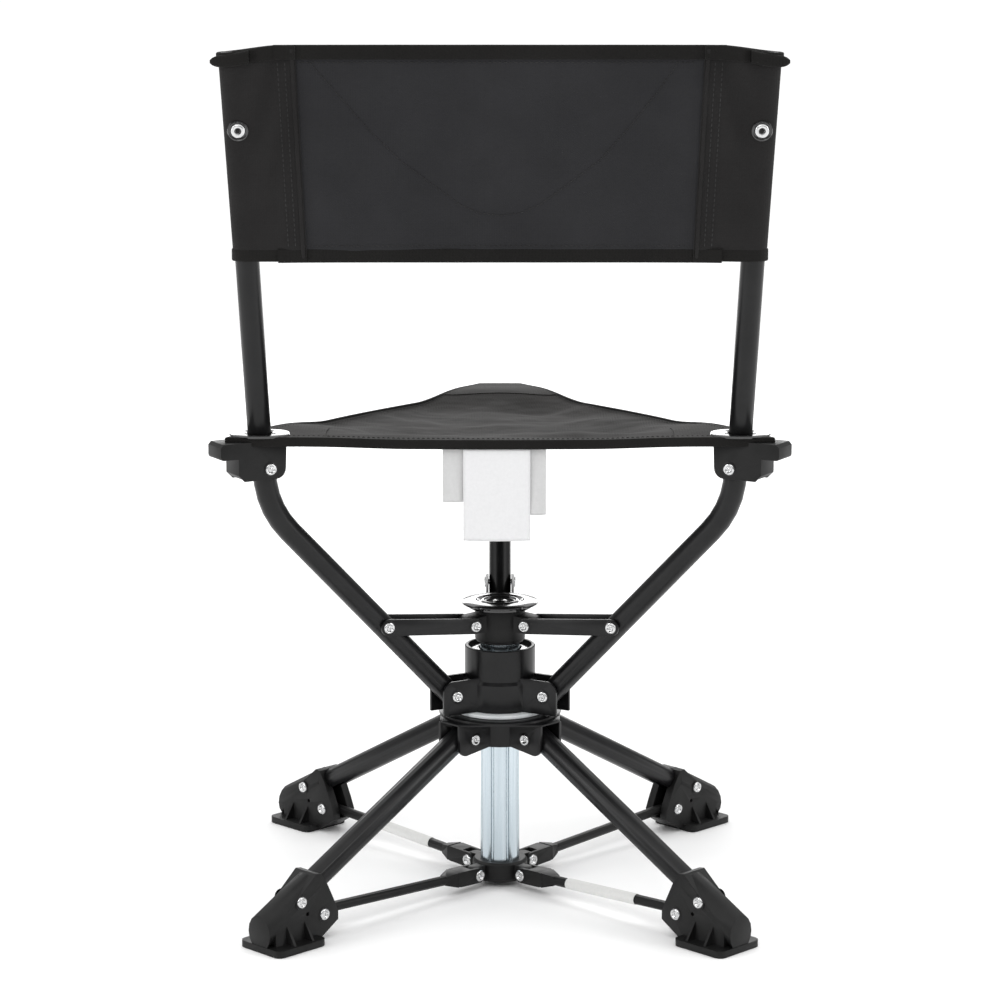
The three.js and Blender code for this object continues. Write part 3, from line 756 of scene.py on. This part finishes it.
def rounded_section(wide, tall, corner, middle=(0, 0), steps=3):
    """A rectangle with rounded corners as a closed list of points."""
    points = []
    for sx, sz, start in ((1, 1, 0), (-1, 1, 90), (-1, -1, 180), (1, -1, 270)):
        for i in range(steps + 1):
            a = math.radians(start + 90 * i / steps)
            points.append(
                (
                    middle[0] + sx * (wide / 2 - corner) + corner * math.cos(a),
                    middle[1] + sz * (tall / 2 - corner) + corner * math.sin(a),
                )
            )
    return points


def seat_border():
    """Points round the seat's edge, with the way out of the cloth at each."""
    long_steps, nose_steps = 56, 6
    places = [(-1 + 2 * i / long_steps, 0.0) for i in range(long_steps + 1)]
    places += [(1.0, j / long_steps) for j in range(1, long_steps + 1)]
    places += [(1 - 2 * i / nose_steps, 1.0) for i in range(1, nose_steps + 1)]
    places += [(-1.0, 1 - j / long_steps) for j in range(1, long_steps)]
    points = [Vector(seat_point(u, v)) for u, v in places]
    path = []
    for k, p in enumerate(points):
        tangent = points[(k + 1) % len(points)] - points[k - 1]
        outward = Vector((tangent.y, -tangent.x, 0)).normalized()
        path.append((p, outward))
    return path


def stitch(start, run, side, up):
    """Points of one stitch: a low arch with tapered ends."""
    points = []
    for share, size, rise in ((0, 0.4, -0.6), (0.3, 1, 0.6), (0.7, 1, 0.6), (1, 0.4, -0.6)):
        middle = start + run * share + up * rise
        for a in (0, 90, 180, 270):
            c, s = math.cos(math.radians(a)), math.sin(math.radians(a))
            points.append(middle + side * (c * size) + up * (s * size))
    return points


def stitches(name, points, lift, length=3.0, space=1.6):
    """A run of sewn stitches along a line of (point, normal) pairs, as small raised loops."""
    thread_radius = 0.42
    verts, faces = [], []
    travelled, target = 0.0, 0.0
    for (a, normal), (b, _) in zip(points, points[1:]):
        a, b = Vector(a), Vector(b)
        span = (b - a).length
        if span < 1e-6:
            continue
        ahead = (b - a) / span
        while target < travelled + span:
            start = a + ahead * (target - travelled)
            up = Vector(normal).normalized()
            side = ahead.cross(up).normalized() * thread_radius
            faces += [tuple(len(verts) + i for i in face) for face in ring_faces(4, 4)]
            verts += stitch(start + up * lift, ahead * length, side, up * thread_radius)
            target += length + space
        travelled += span
    return make_object(name, verts, faces, THREAD)


def seat_patch(name, side):
    """A reinforcing patch sewn on a rear corner, slightly above the seat cloth."""

    # i runs in from the seat's side and j forward from its hem; the front edge slants.
    def point(i, j, up):
        u = side * (1 - 0.36 * i * (1 - 0.35 * j))
        v = 0.004 + 0.21 * j * (1 - 0.25 * i)
        return seat_point(u, v, up + SEAT_THICK / 2 + PATCH_LIFT)

    return grid_sheet(name, 14, 14, point, PATCH_THICK, SEAT_CLOTH)


def nose_patch():
    """A reinforcing patch sewn on the seat's nose."""

    def point(i, j, up):
        v = 0.78 + 0.217 * j
        return seat_point((2 * i - 1) * 0.97, v, up + SEAT_THICK / 2 + PATCH_LIFT)

    return grid_sheet("nose_patch", 12, 16, point, PATCH_THICK, SEAT_CLOTH)


def seat_cloth():
    """The seat's one piece of cloth, before it is shared out."""

    def point(i, j, up):
        return seat_point(2 * i - 1, j, up)

    return grid_sheet("seat_cloth", 84, 72, point, SEAT_THICK, SEAT_CLOTH)


def line_on_seat(start, end, steps=80):
    """Points along a straight run between two (u, v) places on the seat, with up normals."""
    (u0, v0), (u1, v1) = start, end
    out = []
    for k in range(steps):
        t = k / steps
        out.append((seat_point(u0 + (u1 - u0) * t, v0 + (v1 - v0) * t), (0, 0, 1)))
    return out


def half_space(obj, point, direction, keep_side):
    """Cuts the mesh at a plane in place and keeps one side, closed."""
    bm = bmesh.new()
    bm.from_mesh(obj.data)
    where = Vector((point[0] * MM, (point[1] + SWIVEL_Y) * MM, point[2] * MM))
    cut = bmesh.ops.bisect_plane(
        bm,
        geom=bm.verts[:] + bm.edges[:] + bm.faces[:],
        dist=1e-6,
        plane_co=where,
        plane_no=Vector(direction),
        clear_inner=keep_side > 0,
        clear_outer=keep_side < 0,
    )
    edges = [e for e in cut["geom_cut"] if isinstance(e, bmesh.types.BMEdge)]
    if edges:
        bmesh.ops.holes_fill(bm, edges=edges, sides=0)
    bm.to_mesh(obj.data)
    bm.free()


def copy_of(obj, name):
    """A second object with its own copy of the mesh."""
    twin = obj.copy()
    twin.data = obj.data.copy()
    twin.name = name
    bpy.context.scene.collection.objects.link(twin)
    return twin


SEAT_SHARES = ("front", "rear_left", "rear_right")


def direction_at(azimuth):
    """The level direction out from the swivel axis at an azimuth."""
    a = math.radians(azimuth)
    return Vector((math.cos(a), math.sin(a), 0))


def share_out(obj):
    """Splits a seat piece into an inner part and a corner part for each arm that it reaches."""
    parts = []
    for side in SEAT_SHARES:
        azimuth = ARM_ANGLES[side]
        out = direction_at(azimuth)
        for where, keep in (("inner", -1), ("corner", 1)):
            part = copy_of(obj, obj.name + "_" + side + "_" + where)
            half_space(part, out * CENTRE_END, out, keep)
            if where == "inner":
                for turn in (60, -60):
                    edge = direction_at(azimuth + turn)
                    normal = Vector((-edge.y, edge.x, 0)) * (1 if turn < 0 else -1)
                    half_space(part, (0, 0, 0), normal, 1)
            else:
                for other in SEAT_SHARES:
                    if other != side:
                        half_space(part, (0, 0, 0), out - direction_at(ARM_ANGLES[other]), 1)
            if not part.data.polygons:
                bpy.data.objects.remove(part)
                continue
            smooth_sheet(part)
            parts.append((part, side, out, where))
    bpy.data.objects.remove(obj)
    return parts


def smooth_sheet(obj):
    """Smooth shading on a sheet's faces, with crisp edges."""
    for polygon in obj.data.polygons:
        polygon.use_smooth = True
    sharpen(obj, 50)


def join_to_arms(parts):
    """Bakes each seat part's placement into its mesh; the points on its arm's line where it would
    bend are worked out but not used.
    """
    for part, side, out, where in parts:
        if where == "inner":
            ends = (CENTRE_START, CENTRE_END)
        else:
            ends = (CENTRE_END, CORNER_END)
        start, end = [
            (out.x * r * MM, (out.y * r + SWIVEL_Y) * MM, SEAT_UNDER * MM) for r in ends
        ]
        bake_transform(part)
        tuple(start)
        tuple(end)


def top_area(obj):
    """Area of one face of a thin sheet that lies about level, in square metres."""
    return sum(p.area for p in obj.data.polygons if abs(p.normal.z) > 0.3) / 2


def tube_hole(part, side):
    """Cuts the round hole that the back tube comes up through."""
    verts = []
    sides = 48
    for z in (430, 500):
        x, y = tube_centre(side, z)
        for i in range(sides):
            a = 2 * math.pi * i / sides
            verts.append((x + HOLE_RADIUS * math.cos(a), y + HOLE_RADIUS * math.sin(a), z))
    cutter = make_object("hole_cutter", verts, ring_faces(2, sides), SEAT_CLOTH, smooth=False)
    cut = part.modifiers.new("tube hole", "BOOLEAN")
    cut.operation = "DIFFERENCE"
    cut.solver = "EXACT"
    cut.object = cutter
    bpy.context.view_layer.update()
    graph = bpy.context.evaluated_depsgraph_get()
    done = bpy.data.meshes.new_from_object(part.evaluated_get(graph))
    part.modifiers.clear()
    part.data = done
    bpy.data.objects.remove(cutter)
    sharpen(part, 50)


seat_pieces = [
    seat_cloth(),
    seat_patch("rear_left_patch", -1),
    seat_patch("rear_right_patch", 1),
    nose_patch(),
    swept(
        "seat_binding",
        seat_border(),
        rounded_section(HEM_THICK, HEM_TALL, 1.4, (-0.6, -HEM_TALL / 2 + 2.0)),
        TAPE,
        closed=True,
    ),
    stitches("hem_stitching", line_on_seat((-0.985, 0.022), (0.985, 0.022)), SEAT_STITCH_LIFT),
    stitches("side_stitching_right", line_on_seat((0.955, 0.03), (0.93, 0.97)), SEAT_STITCH_LIFT),
    stitches("side_stitching_left", line_on_seat((-0.955, 0.03), (-0.93, 0.97)), SEAT_STITCH_LIFT),
]
HOLED = ("seat_cloth", "rear_left_patch", "rear_right_patch")
seat_parts = []
for whole in seat_pieces:
    label = whole.name
    parts = share_out(whole)
    for part, side, out, where in parts:
        if where == "corner" and side != "front" and label in HOLED:
            tube_hole(part, -1 if side == "rear_left" else 1)
    if label == "seat_cloth":
        seat_parts = parts
    join_to_arms(parts)
for part, side, out, where in seat_parts:
    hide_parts("seat_sling")
    area = top_area(part)


PLATE_RING = [
    (12.0, -0.6),
    (12.0, 1.5),
    (13.0, 2.1),
    (25.0, 2.1),
    (27.4, 1.6),
    (28.2, 0.5),
    (27.4, -0.6),
]


def corner_plate(side):
    """The oval washer that clamps the seat cloth round a back tube's foot."""
    x, y = tube_foot(side)
    verts = []
    sides = 64
    for k in range(sides):
        a = 2 * math.pi * k / sides
        for r, up in PLATE_RING:
            squeeze = 1 - 0.22 * smooth_step((r - 12) / 14) * math.sin(a) ** 2
            verts.append((x + r * math.cos(a), y + r * squeeze * math.sin(a), PLATE_LEVEL + up))
    faces = ring_faces(sides, len(PLATE_RING), closed=True)
    plate = sharpen(make_object("corner_plate_" + hand(side), verts, faces, GLOSS), 40)
    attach(plate, back_body(side))


corner_plate(-1)
corner_plate(1)

# ---- backrest sling ----


def back_plane(z):
    """How far back the tubes' plane is at a height."""
    return BACK_PLANE_Y + BACK_LEAN * (z - BACK_PLANE_Z)


def between(low, high, z):
    """A width that changes evenly from the backrest's bottom edge to its top."""
    t = (z - BACK_BOTTOM) / (BACK_TOP - BACK_BOTTOM)
    return low + (high - low) * t


def back_half(z):
    """Half the backrest's width at a height."""
    return between(BACK_HALF_BOTTOM, BACK_HALF_TOP, z)


def seam_x(z):
    """How far a seam between panel and sleeve is from the middle at a height."""
    return between(SLEEVE_SEAM_BOTTOM, SLEEVE_SEAM_TOP, z)


def top_drop(x):
    """How far the top edge has come down at a distance from the middle."""
    return TOP_DROP * smooth_step((x - DROP_START) / DROP_RUN)


def panel_offset(x, z):
    """How far the centre panel's cloth lies from the tubes' plane; negative is rearward."""
    dish = PANEL_DISH * (1 - (x / 215) ** 2)
    rumple = 0.7 * noise.noise(Vector((x * 0.012, z * 0.02, 1.7)))
    rumple += 0.3 * noise.noise(Vector((x * 0.04, z * 0.03, 5.2)))
    return PANEL_OFFSET + dish + rumple


def centre_panel():
    """The backrest's centre cloth, between the two seams."""

    def point(i, j, up):
        z = BACK_BOTTOM + 1 + (BACK_TOP - BACK_BOTTOM - 2) * j
        x = (2 * i - 1) * (seam_x(z) + 1)
        return (x, back_plane(z) + panel_offset(x, z) - up, z)

    return grid_sheet("backrest_panel", 106, 40, point, PANEL_THICK, BACK_CLOTH)


def sleeve_path(z, side):
    """The line that a sleeve's cloth follows round its tube at a height, in x and offset."""
    inner, tube, r = seam_x(z) - 6, tube_centre(1, z)[0], SLEEVE_RADIUS
    points = []
    # The rear face, from the seam out to the tube
    for k in range(15):
        t = k / 14
        x = inner + (tube - inner) * t
        sag = 1.6 * math.sin(math.pi * t)
        crease = 2.4 * smooth_step((z - 660) / 140) * math.sin(9 * t + 0.07 * (z - 640))
        crease += 1.8 * noise.noise(Vector((x * 0.05, z * 0.018, 2.2 * side)))
        points.append((x, -13.3 - 0.4 * (1 - t) + (sag + crease) * math.sin(math.pi * t)))
    # Round the outside of the tube
    steps = 16
    stretch = back_half(z) - tube - r
    for k in range(1, steps):
        a = math.radians(-90 + 180 * k / steps)
        points.append((tube + (r + stretch) * math.cos(a), (r + 0.2) * math.sin(a)))
    # The front face, back in to the panel
    for k in range(13):
        t = k / 12
        x = tube + (inner + 14 - tube) * t
        points.append((x, r + (-8.2 - r) * smooth_step(t)))
    return points


def way_out(line, k):
    """The way out of the cloth at a point of a sleeve's line, in x and offset."""
    px, po = line[max(0, k - 1)]
    nx, no = line[min(len(line) - 1, k + 1)]
    run = math.hypot(nx - px, no - po) or 1
    return (no - po) / run, -(nx - px) / run


def sleeve(side):
    """One backrest sleeve: a strip of cloth from its rear seam, round the tube, to the panel."""
    rows = 44
    outer, inner = [], []
    for j in range(rows + 1):
        z = BACK_BOTTOM + (BACK_TOP - BACK_BOTTOM) * j / rows
        path = sleeve_path(z, side)
        for k, (x, off) in enumerate(path):
            ax, ao = way_out(path, k)
            low = z - top_drop(x) * j / rows
            outer.append((side * x, back_plane(z) + off, low))
            inner_x, inner_y = x - SLEEVE_THICK * ax, back_plane(z) + off - SLEEVE_THICK * ao
            inner.append((side * inner_x, inner_y, low))
    count = len(sleeve_path(BACK_BOTTOM, side))
    verts = outer + inner
    layer = len(outer)
    faces = []
    for j in range(rows):
        for k in range(count - 1):
            a = j * count + k
            faces.append((a, a + 1, a + count + 1, a + count))
            faces.append((layer + a, layer + a + count, layer + a + count + 1, layer + a + 1))
        for k in (0, count - 1):
            a = j * count + k
            faces.append((a, a + count, layer + a + count, layer + a))
    for k in range(count - 1):
        for a in (k, rows * count + k):
            faces.append((a, a + 1, layer + a + 1, layer + a))
    obj = make_object("backrest_sleeve_" + hand(side), verts, faces, SLEEVE_CLOTH)
    return sharpen(obj, 50)


def back_line(places, steps):
    """Points on the panel's rear face along runs between (x, z) places, with rear normals."""
    out = []
    for (x0, z0), (x1, z1) in zip(places, places[1:]):
        for k in range(steps):
            t = k / steps
            x, z = x0 + (x1 - x0) * t, z0 + (z1 - z0) * t
            y = back_plane(z) + panel_offset(x, z) - 0.9
            out.append(((x, y, z), BACK_NORMAL))
    return out


def edge_binding(name, z):
    """A folded tape over the panel's top or bottom edge."""
    path = []
    steps = 60
    for k in range(steps + 1):
        x = -SPLIT_X + 2 * SPLIT_X * k / steps
        away = abs(x)
        wrap = smooth_step((away - 175) / 30)
        offset = panel_offset(min(away, 205), z) * (1 - wrap) - 13.2 * wrap
        path.append(((x, back_plane(z) + offset, z), (0, -1, 0)))
    return swept(name, path, rounded_section(4.2, BINDING_TALL, 1.7), TAPE)


def hoop(name, side, line_z, tape_z, drop, section):
    """A tape round a sleeve's edge: it follows the cloth's line at line_z and lies at tape_z."""
    path = []
    line = sleeve_path(line_z, side)
    for k, (x, off) in enumerate(line):
        ax, ao = way_out(line, k)
        z = tape_z - top_drop(x) * drop
        path.append(((side * x, back_plane(z) + off, z), Vector((side * ax, ao, 0))))
    return swept(name + hand(side), path, section, TAPE)


def top_hoop(side):
    """The tape over a sleeve's top, round the tube's front and rear."""
    section = rounded_section(3.8, BINDING_TALL, 1.7)
    tape_z = BACK_TOP - BINDING_INSET
    return hoop("backrest_top_tape_", side, BACK_TOP - 2, tape_z, 1, section)


def bottom_hoop(side):
    """The tape under a sleeve's lower edge."""
    section = rounded_section(2.6, 11, 1.1)
    tape_z = BACK_BOTTOM + BINDING_INSET
    return hoop("backrest_bottom_tape_", side, tape_z, tape_z, 0, section)


def piping_end(side):
    """The cut end of the top tape, which sticks out past the sleeve and tapers."""
    verts = []
    steps = 16
    section = rounded_section(5.0, BINDING_TALL - 1.5, 2.3)
    for k in range(steps + 1):
        t = k / steps
        x = PIPING_START + (PIPING_END - PIPING_START) * t
        z = BACK_TOP - BINDING_INSET - top_drop(x) - 1.5 * t
        y = back_plane(z) - 15.0 + 5.0 * t * t
        size = max(math.sqrt(1 - t**6), 0.25)
        for out, up in section:
            verts.append((side * x, y - out * size, z + up * size))
    faces = ring_faces(steps + 1, len(section))
    return sharpen(make_object("top_tape_end_" + hand(side), verts, faces, TAPE), 50)


def seam_ridge(side):
    """The ridge of folded cloth along the seam between the panel and a sleeve."""
    verts = []
    steps = 40
    section = rounded_section(3.4, 2.2, 1.0, steps=2)
    for k in range(steps + 1):
        z = BACK_BOTTOM + 2 + (BACK_TOP - BACK_BOTTOM - 4) * k / steps
        x = side * (seam_x(z) - 3)
        y = back_plane(z) - 14.2
        for across, out in section:
            verts.append((x + across, y - out, z))
    faces = ring_faces(steps + 1, len(section))
    return sharpen(make_object("seam_ridge_" + hand(side), verts, faces, SLEEVE_CLOTH), 50)


SNAP_WASHER = [(0, -0.4), (9, -0.4), (9.6, 0.2), (9.3, 1.0), (8.4, 1.3), (7.4, 0.7), (0, 0.7)]
SNAP_CAP = [
    (0, 0.6),
    (6.3, 0.6),
    (6.4, 1.4),
    (5.8, 2.3),
    (4.6, 2.7),
    (3.2, 2.4),
    (2.2, 1.0),
    (0, 0.9),
]
SNAP_SOCKET = [(0, 0.85), (2.1, 0.85), (2.1, 1.3), (1.2, 1.5), (0, 1.5)]


def snap(side):
    """A press stud on a sleeve's rear face: a black washer, a plated ring and a dark socket."""
    z, x = SNAP_Z, side * SNAP_X
    y = back_plane(z) - SLEEVE_RADIUS - 1.0
    tilt = Vector(BACK_NORMAL).to_track_quat("Z", "Y").to_matrix().to_4x4()
    face = Matrix.Translation((x, y, z)) @ tilt
    name = "snap_" + hand(side)
    return [
        closed_turned(name + "_washer", SNAP_WASHER, 48, face, GLOSS),
        closed_turned(name + "_cap", SNAP_CAP, 48, face, NICKEL),
        closed_turned(name + "_socket", SNAP_SOCKET, 24, face, NYLON),
    ]


def keep_between(obj, low, high):
    """Cuts a piece to the strip between two x values."""
    half_space(obj, (low, 0, 0), (1, 0, 0), 1)
    half_space(obj, (high, 0, 0), (1, 0, 0), -1)


def share_back(obj):
    """Splits a backrest piece into middle halves and ends; each rides with the back tube on its
    side, and the middle halves get a mesh of their own.
    """
    made = []
    for side in (-1, 1):
        for where, low, high in (("middle", 0, SPLIT_X), ("end", SPLIT_X, 400)):
            part = copy_of(obj, "%s_%s_%s" % (obj.name, hand(side), where))
            keep_between(part, *sorted((side * low, side * high)))
            if not part.data.polygons:
                bpy.data.objects.remove(part)
                continue
            smooth_sheet(part)
            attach(part, back_body(side))
            if where == "middle":
                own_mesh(part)
            made.append((part, side, where))
    bpy.data.objects.remove(obj)
    return made


STITCHED_CURVE = [
    (-168, 816),
    (-146, 790),
    (-118, 757),
    (-89, 728),
    (-60, 706),
    (-36, 688),
    (-18, 680),
    (0, 678),
    (18, 680),
    (36, 688),
    (60, 706),
    (89, 728),
    (114, 757),
    (140, 790),
    (159, 818),
]

panel_parts = share_back(centre_panel())
curve = back_line(STITCHED_CURVE, 10)
share_back(stitches("curved_stitching", curve, 0.1, length=2.6, space=1.2))
for edge, z in (("top", BACK_TOP - STITCH_INSET), ("bottom", BACK_BOTTOM + STITCH_INSET)):
    line = back_line([(-176, z), (176, z)], 60)
    share_back(stitches(edge + "_edge_stitching", line, 0.1))
share_back(edge_binding("backrest_top_binding", BACK_TOP - BINDING_INSET))
share_back(edge_binding("backrest_bottom_binding", BACK_BOTTOM + BINDING_INSET))
for side in (-1, 1):
    for build in (sleeve, top_hoop, bottom_hoop, seam_ridge, piping_end):
        for part, _, _ in share_back(build(side)):
            if build is sleeve:
                panel_parts.append((part, side, "sleeve"))
    for beside in (9, 2.5):
        line = []
        for k in range(60):
            z = BACK_BOTTOM + STITCH_INSET + (BACK_TOP - BACK_BOTTOM - 2 * STITCH_INSET) * k / 59
            x = side * (seam_x(z) + beside + 1)
            line.append(((x, back_plane(z) - 14.9, z), BACK_NORMAL))
        # Both rows have one name, so the second row's pieces get a number after it.
        share_back(stitches("seam_stitching_%s_outer" % hand(side), line, 0.15))
    for piece in snap(side):
        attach(piece, back_body(side))

for part, side, where in panel_parts:
    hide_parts("backrest_sling")
    area = sum(p.area for p in part.data.polygons) / 2
    "back_tube_" + hand(side)

# ---- labels and bands ----


def hanging_label(name, x0, x1, top, bottom, y, curl, material):
    """A blank label that hangs from the hem with a slight curl."""

    def point(i, j, up):
        z = top + (bottom - top) * j
        x = x0 + (x1 - x0) * i
        bow = curl * math.sin(math.pi * i) * j + 2.2 * j * j * math.sin(2.2 * i + 0.6)
        return (x, y - bow - up, z)

    obj = grid_sheet(name, 18, 24, point, 0.35, material)
    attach(obj, "seat_hub")
    return obj


main_label = hanging_label("main_label", -34, 28, 460, 373, -145.4, 2.0, LABEL)
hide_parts("care_tag")
hanging_label("side_label_left", -53, -33.5, 460, 409, -142.6, 1.2, GREY_LABEL)
hanging_label("side_label_right", 25.5, 42.5, 460, 397, -142.6, 1.4, GREY_LABEL)


def stretcher_band(name, azimuth, body, start, end):
    """A blank white band wrapped round a stretcher's rod."""
    r0, z0, _ = STRETCHER_HINGE
    r1, z1, _ = STRETCHER_FOOT
    length = math.hypot(r1 - r0, z1 - z0)
    slope = math.asin((z1 - z0) / length)
    low, high = (start - r0) / math.cos(slope), (end - r0) / math.cos(slope)
    along = radial(azimuth, r0, z0) @ Matrix.Rotation(math.pi / 2 - slope, 4, "Y")
    bore, edge, outer, round_over = 5.05, 5.35, 5.4, 0.4
    profile = [
        (bore, low),
        (edge, low),
        (outer, low + round_over),
        (outer, high - round_over),
        (edge, high),
        (bore, high),
    ]
    obj = closed_turned(name, profile, 32, along, BAND, ring=True)
    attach(obj, body)


stretcher_band("rear_band", 315, "stretcher_rear_right_body", 94, 184)
stretcher_band("front_band", 135, "stretcher_front_left_body", 98, 190)

# ---- studio ----

scene = bpy.context.scene
scene.view_settings.view_transform = "Standard"


def studio_world():
    """White light from above that fades to a dim grey at the horizon."""
    world = bpy.data.worlds.new("studio")
    world.use_nodes = True
    tree = world.node_tree
    place = add_node(tree, "ShaderNodeTexCoord")
    split = add_node(tree, "ShaderNodeSeparateXYZ", inputs={"Vector": place.outputs["Generated"]})
    ceiling = add_node(tree, "ShaderNodeValToRGB", inputs={"Fac": split.outputs["Z"]})
    ceiling.color_ramp.interpolation = "EASE"
    ceiling.color_ramp.elements[0].position = 0.1
    ceiling.color_ramp.elements[0].color = (0.2, 0.2, 0.2, 1)
    ceiling.color_ramp.elements[1].position = 0.85
    ceiling.color_ramp.elements[1].color = (1, 1, 1, 1)
    background = tree.nodes["Background"]
    background.inputs["Strength"].default_value = SKY_LIGHT
    tree.links.new(ceiling.outputs["Color"], background.inputs["Color"])
    scene.world = world


def studio_floor():
    """A huge sheet of white paper."""
    far = FLOOR_REACH
    paper, tree, surface, place = start_material("white_paper", Roughness=0.9)
    mottle(tree, surface, place, "f9f9f9", "ffffff", 900)
    verts = [(-far, -far, 0), (far, -far, 0), (far, far, 0), (-far, far, 0)]
    floor = make_object("studio_floor", verts, [(0, 1, 2, 3)], paper, smooth=False)
    floor.location.z = -FLOOR_DROP * MM
    floor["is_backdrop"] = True


def softbox(name, at, towards, wide, tall, power):
    """A rectangular light that the camera doesn't see, with sizes in metres and power in watts."""
    data = bpy.data.lights.new(name, "AREA")
    data.shape = "RECTANGLE"
    data.size, data.size_y = wide, tall
    data.energy = power
    light = bpy.data.objects.new(name, data)
    light.location = at
    light.visible_camera = False
    light.rotation_euler = (Vector(towards) - Vector(at)).to_track_quat("-Z", "Y").to_euler()
    scene.collection.objects.link(light)


studio_world()
studio_floor()
softbox("left_softbox", (-2.4, -1.2, 1.3), (0, 0, 0.45), 0.5, 1.8, 14)
softbox("right_softbox", (2.4, -1.0, 1.3), (0, 0, 0.45), 0.5, 1.8, 14)
softbox("near_softbox", (-0.9, -2.6, 2.4), (0, 0, 0.4), 1.2, 0.7, 9)
softbox("far_softbox", (0.0, 3.4, 1.15), (0, 0, 0.4), 2.6, 1.0, 26)

camera_data = bpy.data.cameras.new("camera")
camera_data.lens = CAMERA_LENS
camera_data.sensor_width = 36
camera = bpy.data.objects.new("camera", camera_data)
camera.location = (0, (-CAMERA_AWAY + SWIVEL_Y) * MM, CAMERA_HEIGHT * MM)
camera.rotation_euler = (math.radians(CAMERA_TILT), 0, 0)
scene.collection.objects.link(camera)
scene.camera = camera

both = [[list(corner) for corner in b] for b in (cad_box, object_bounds())]
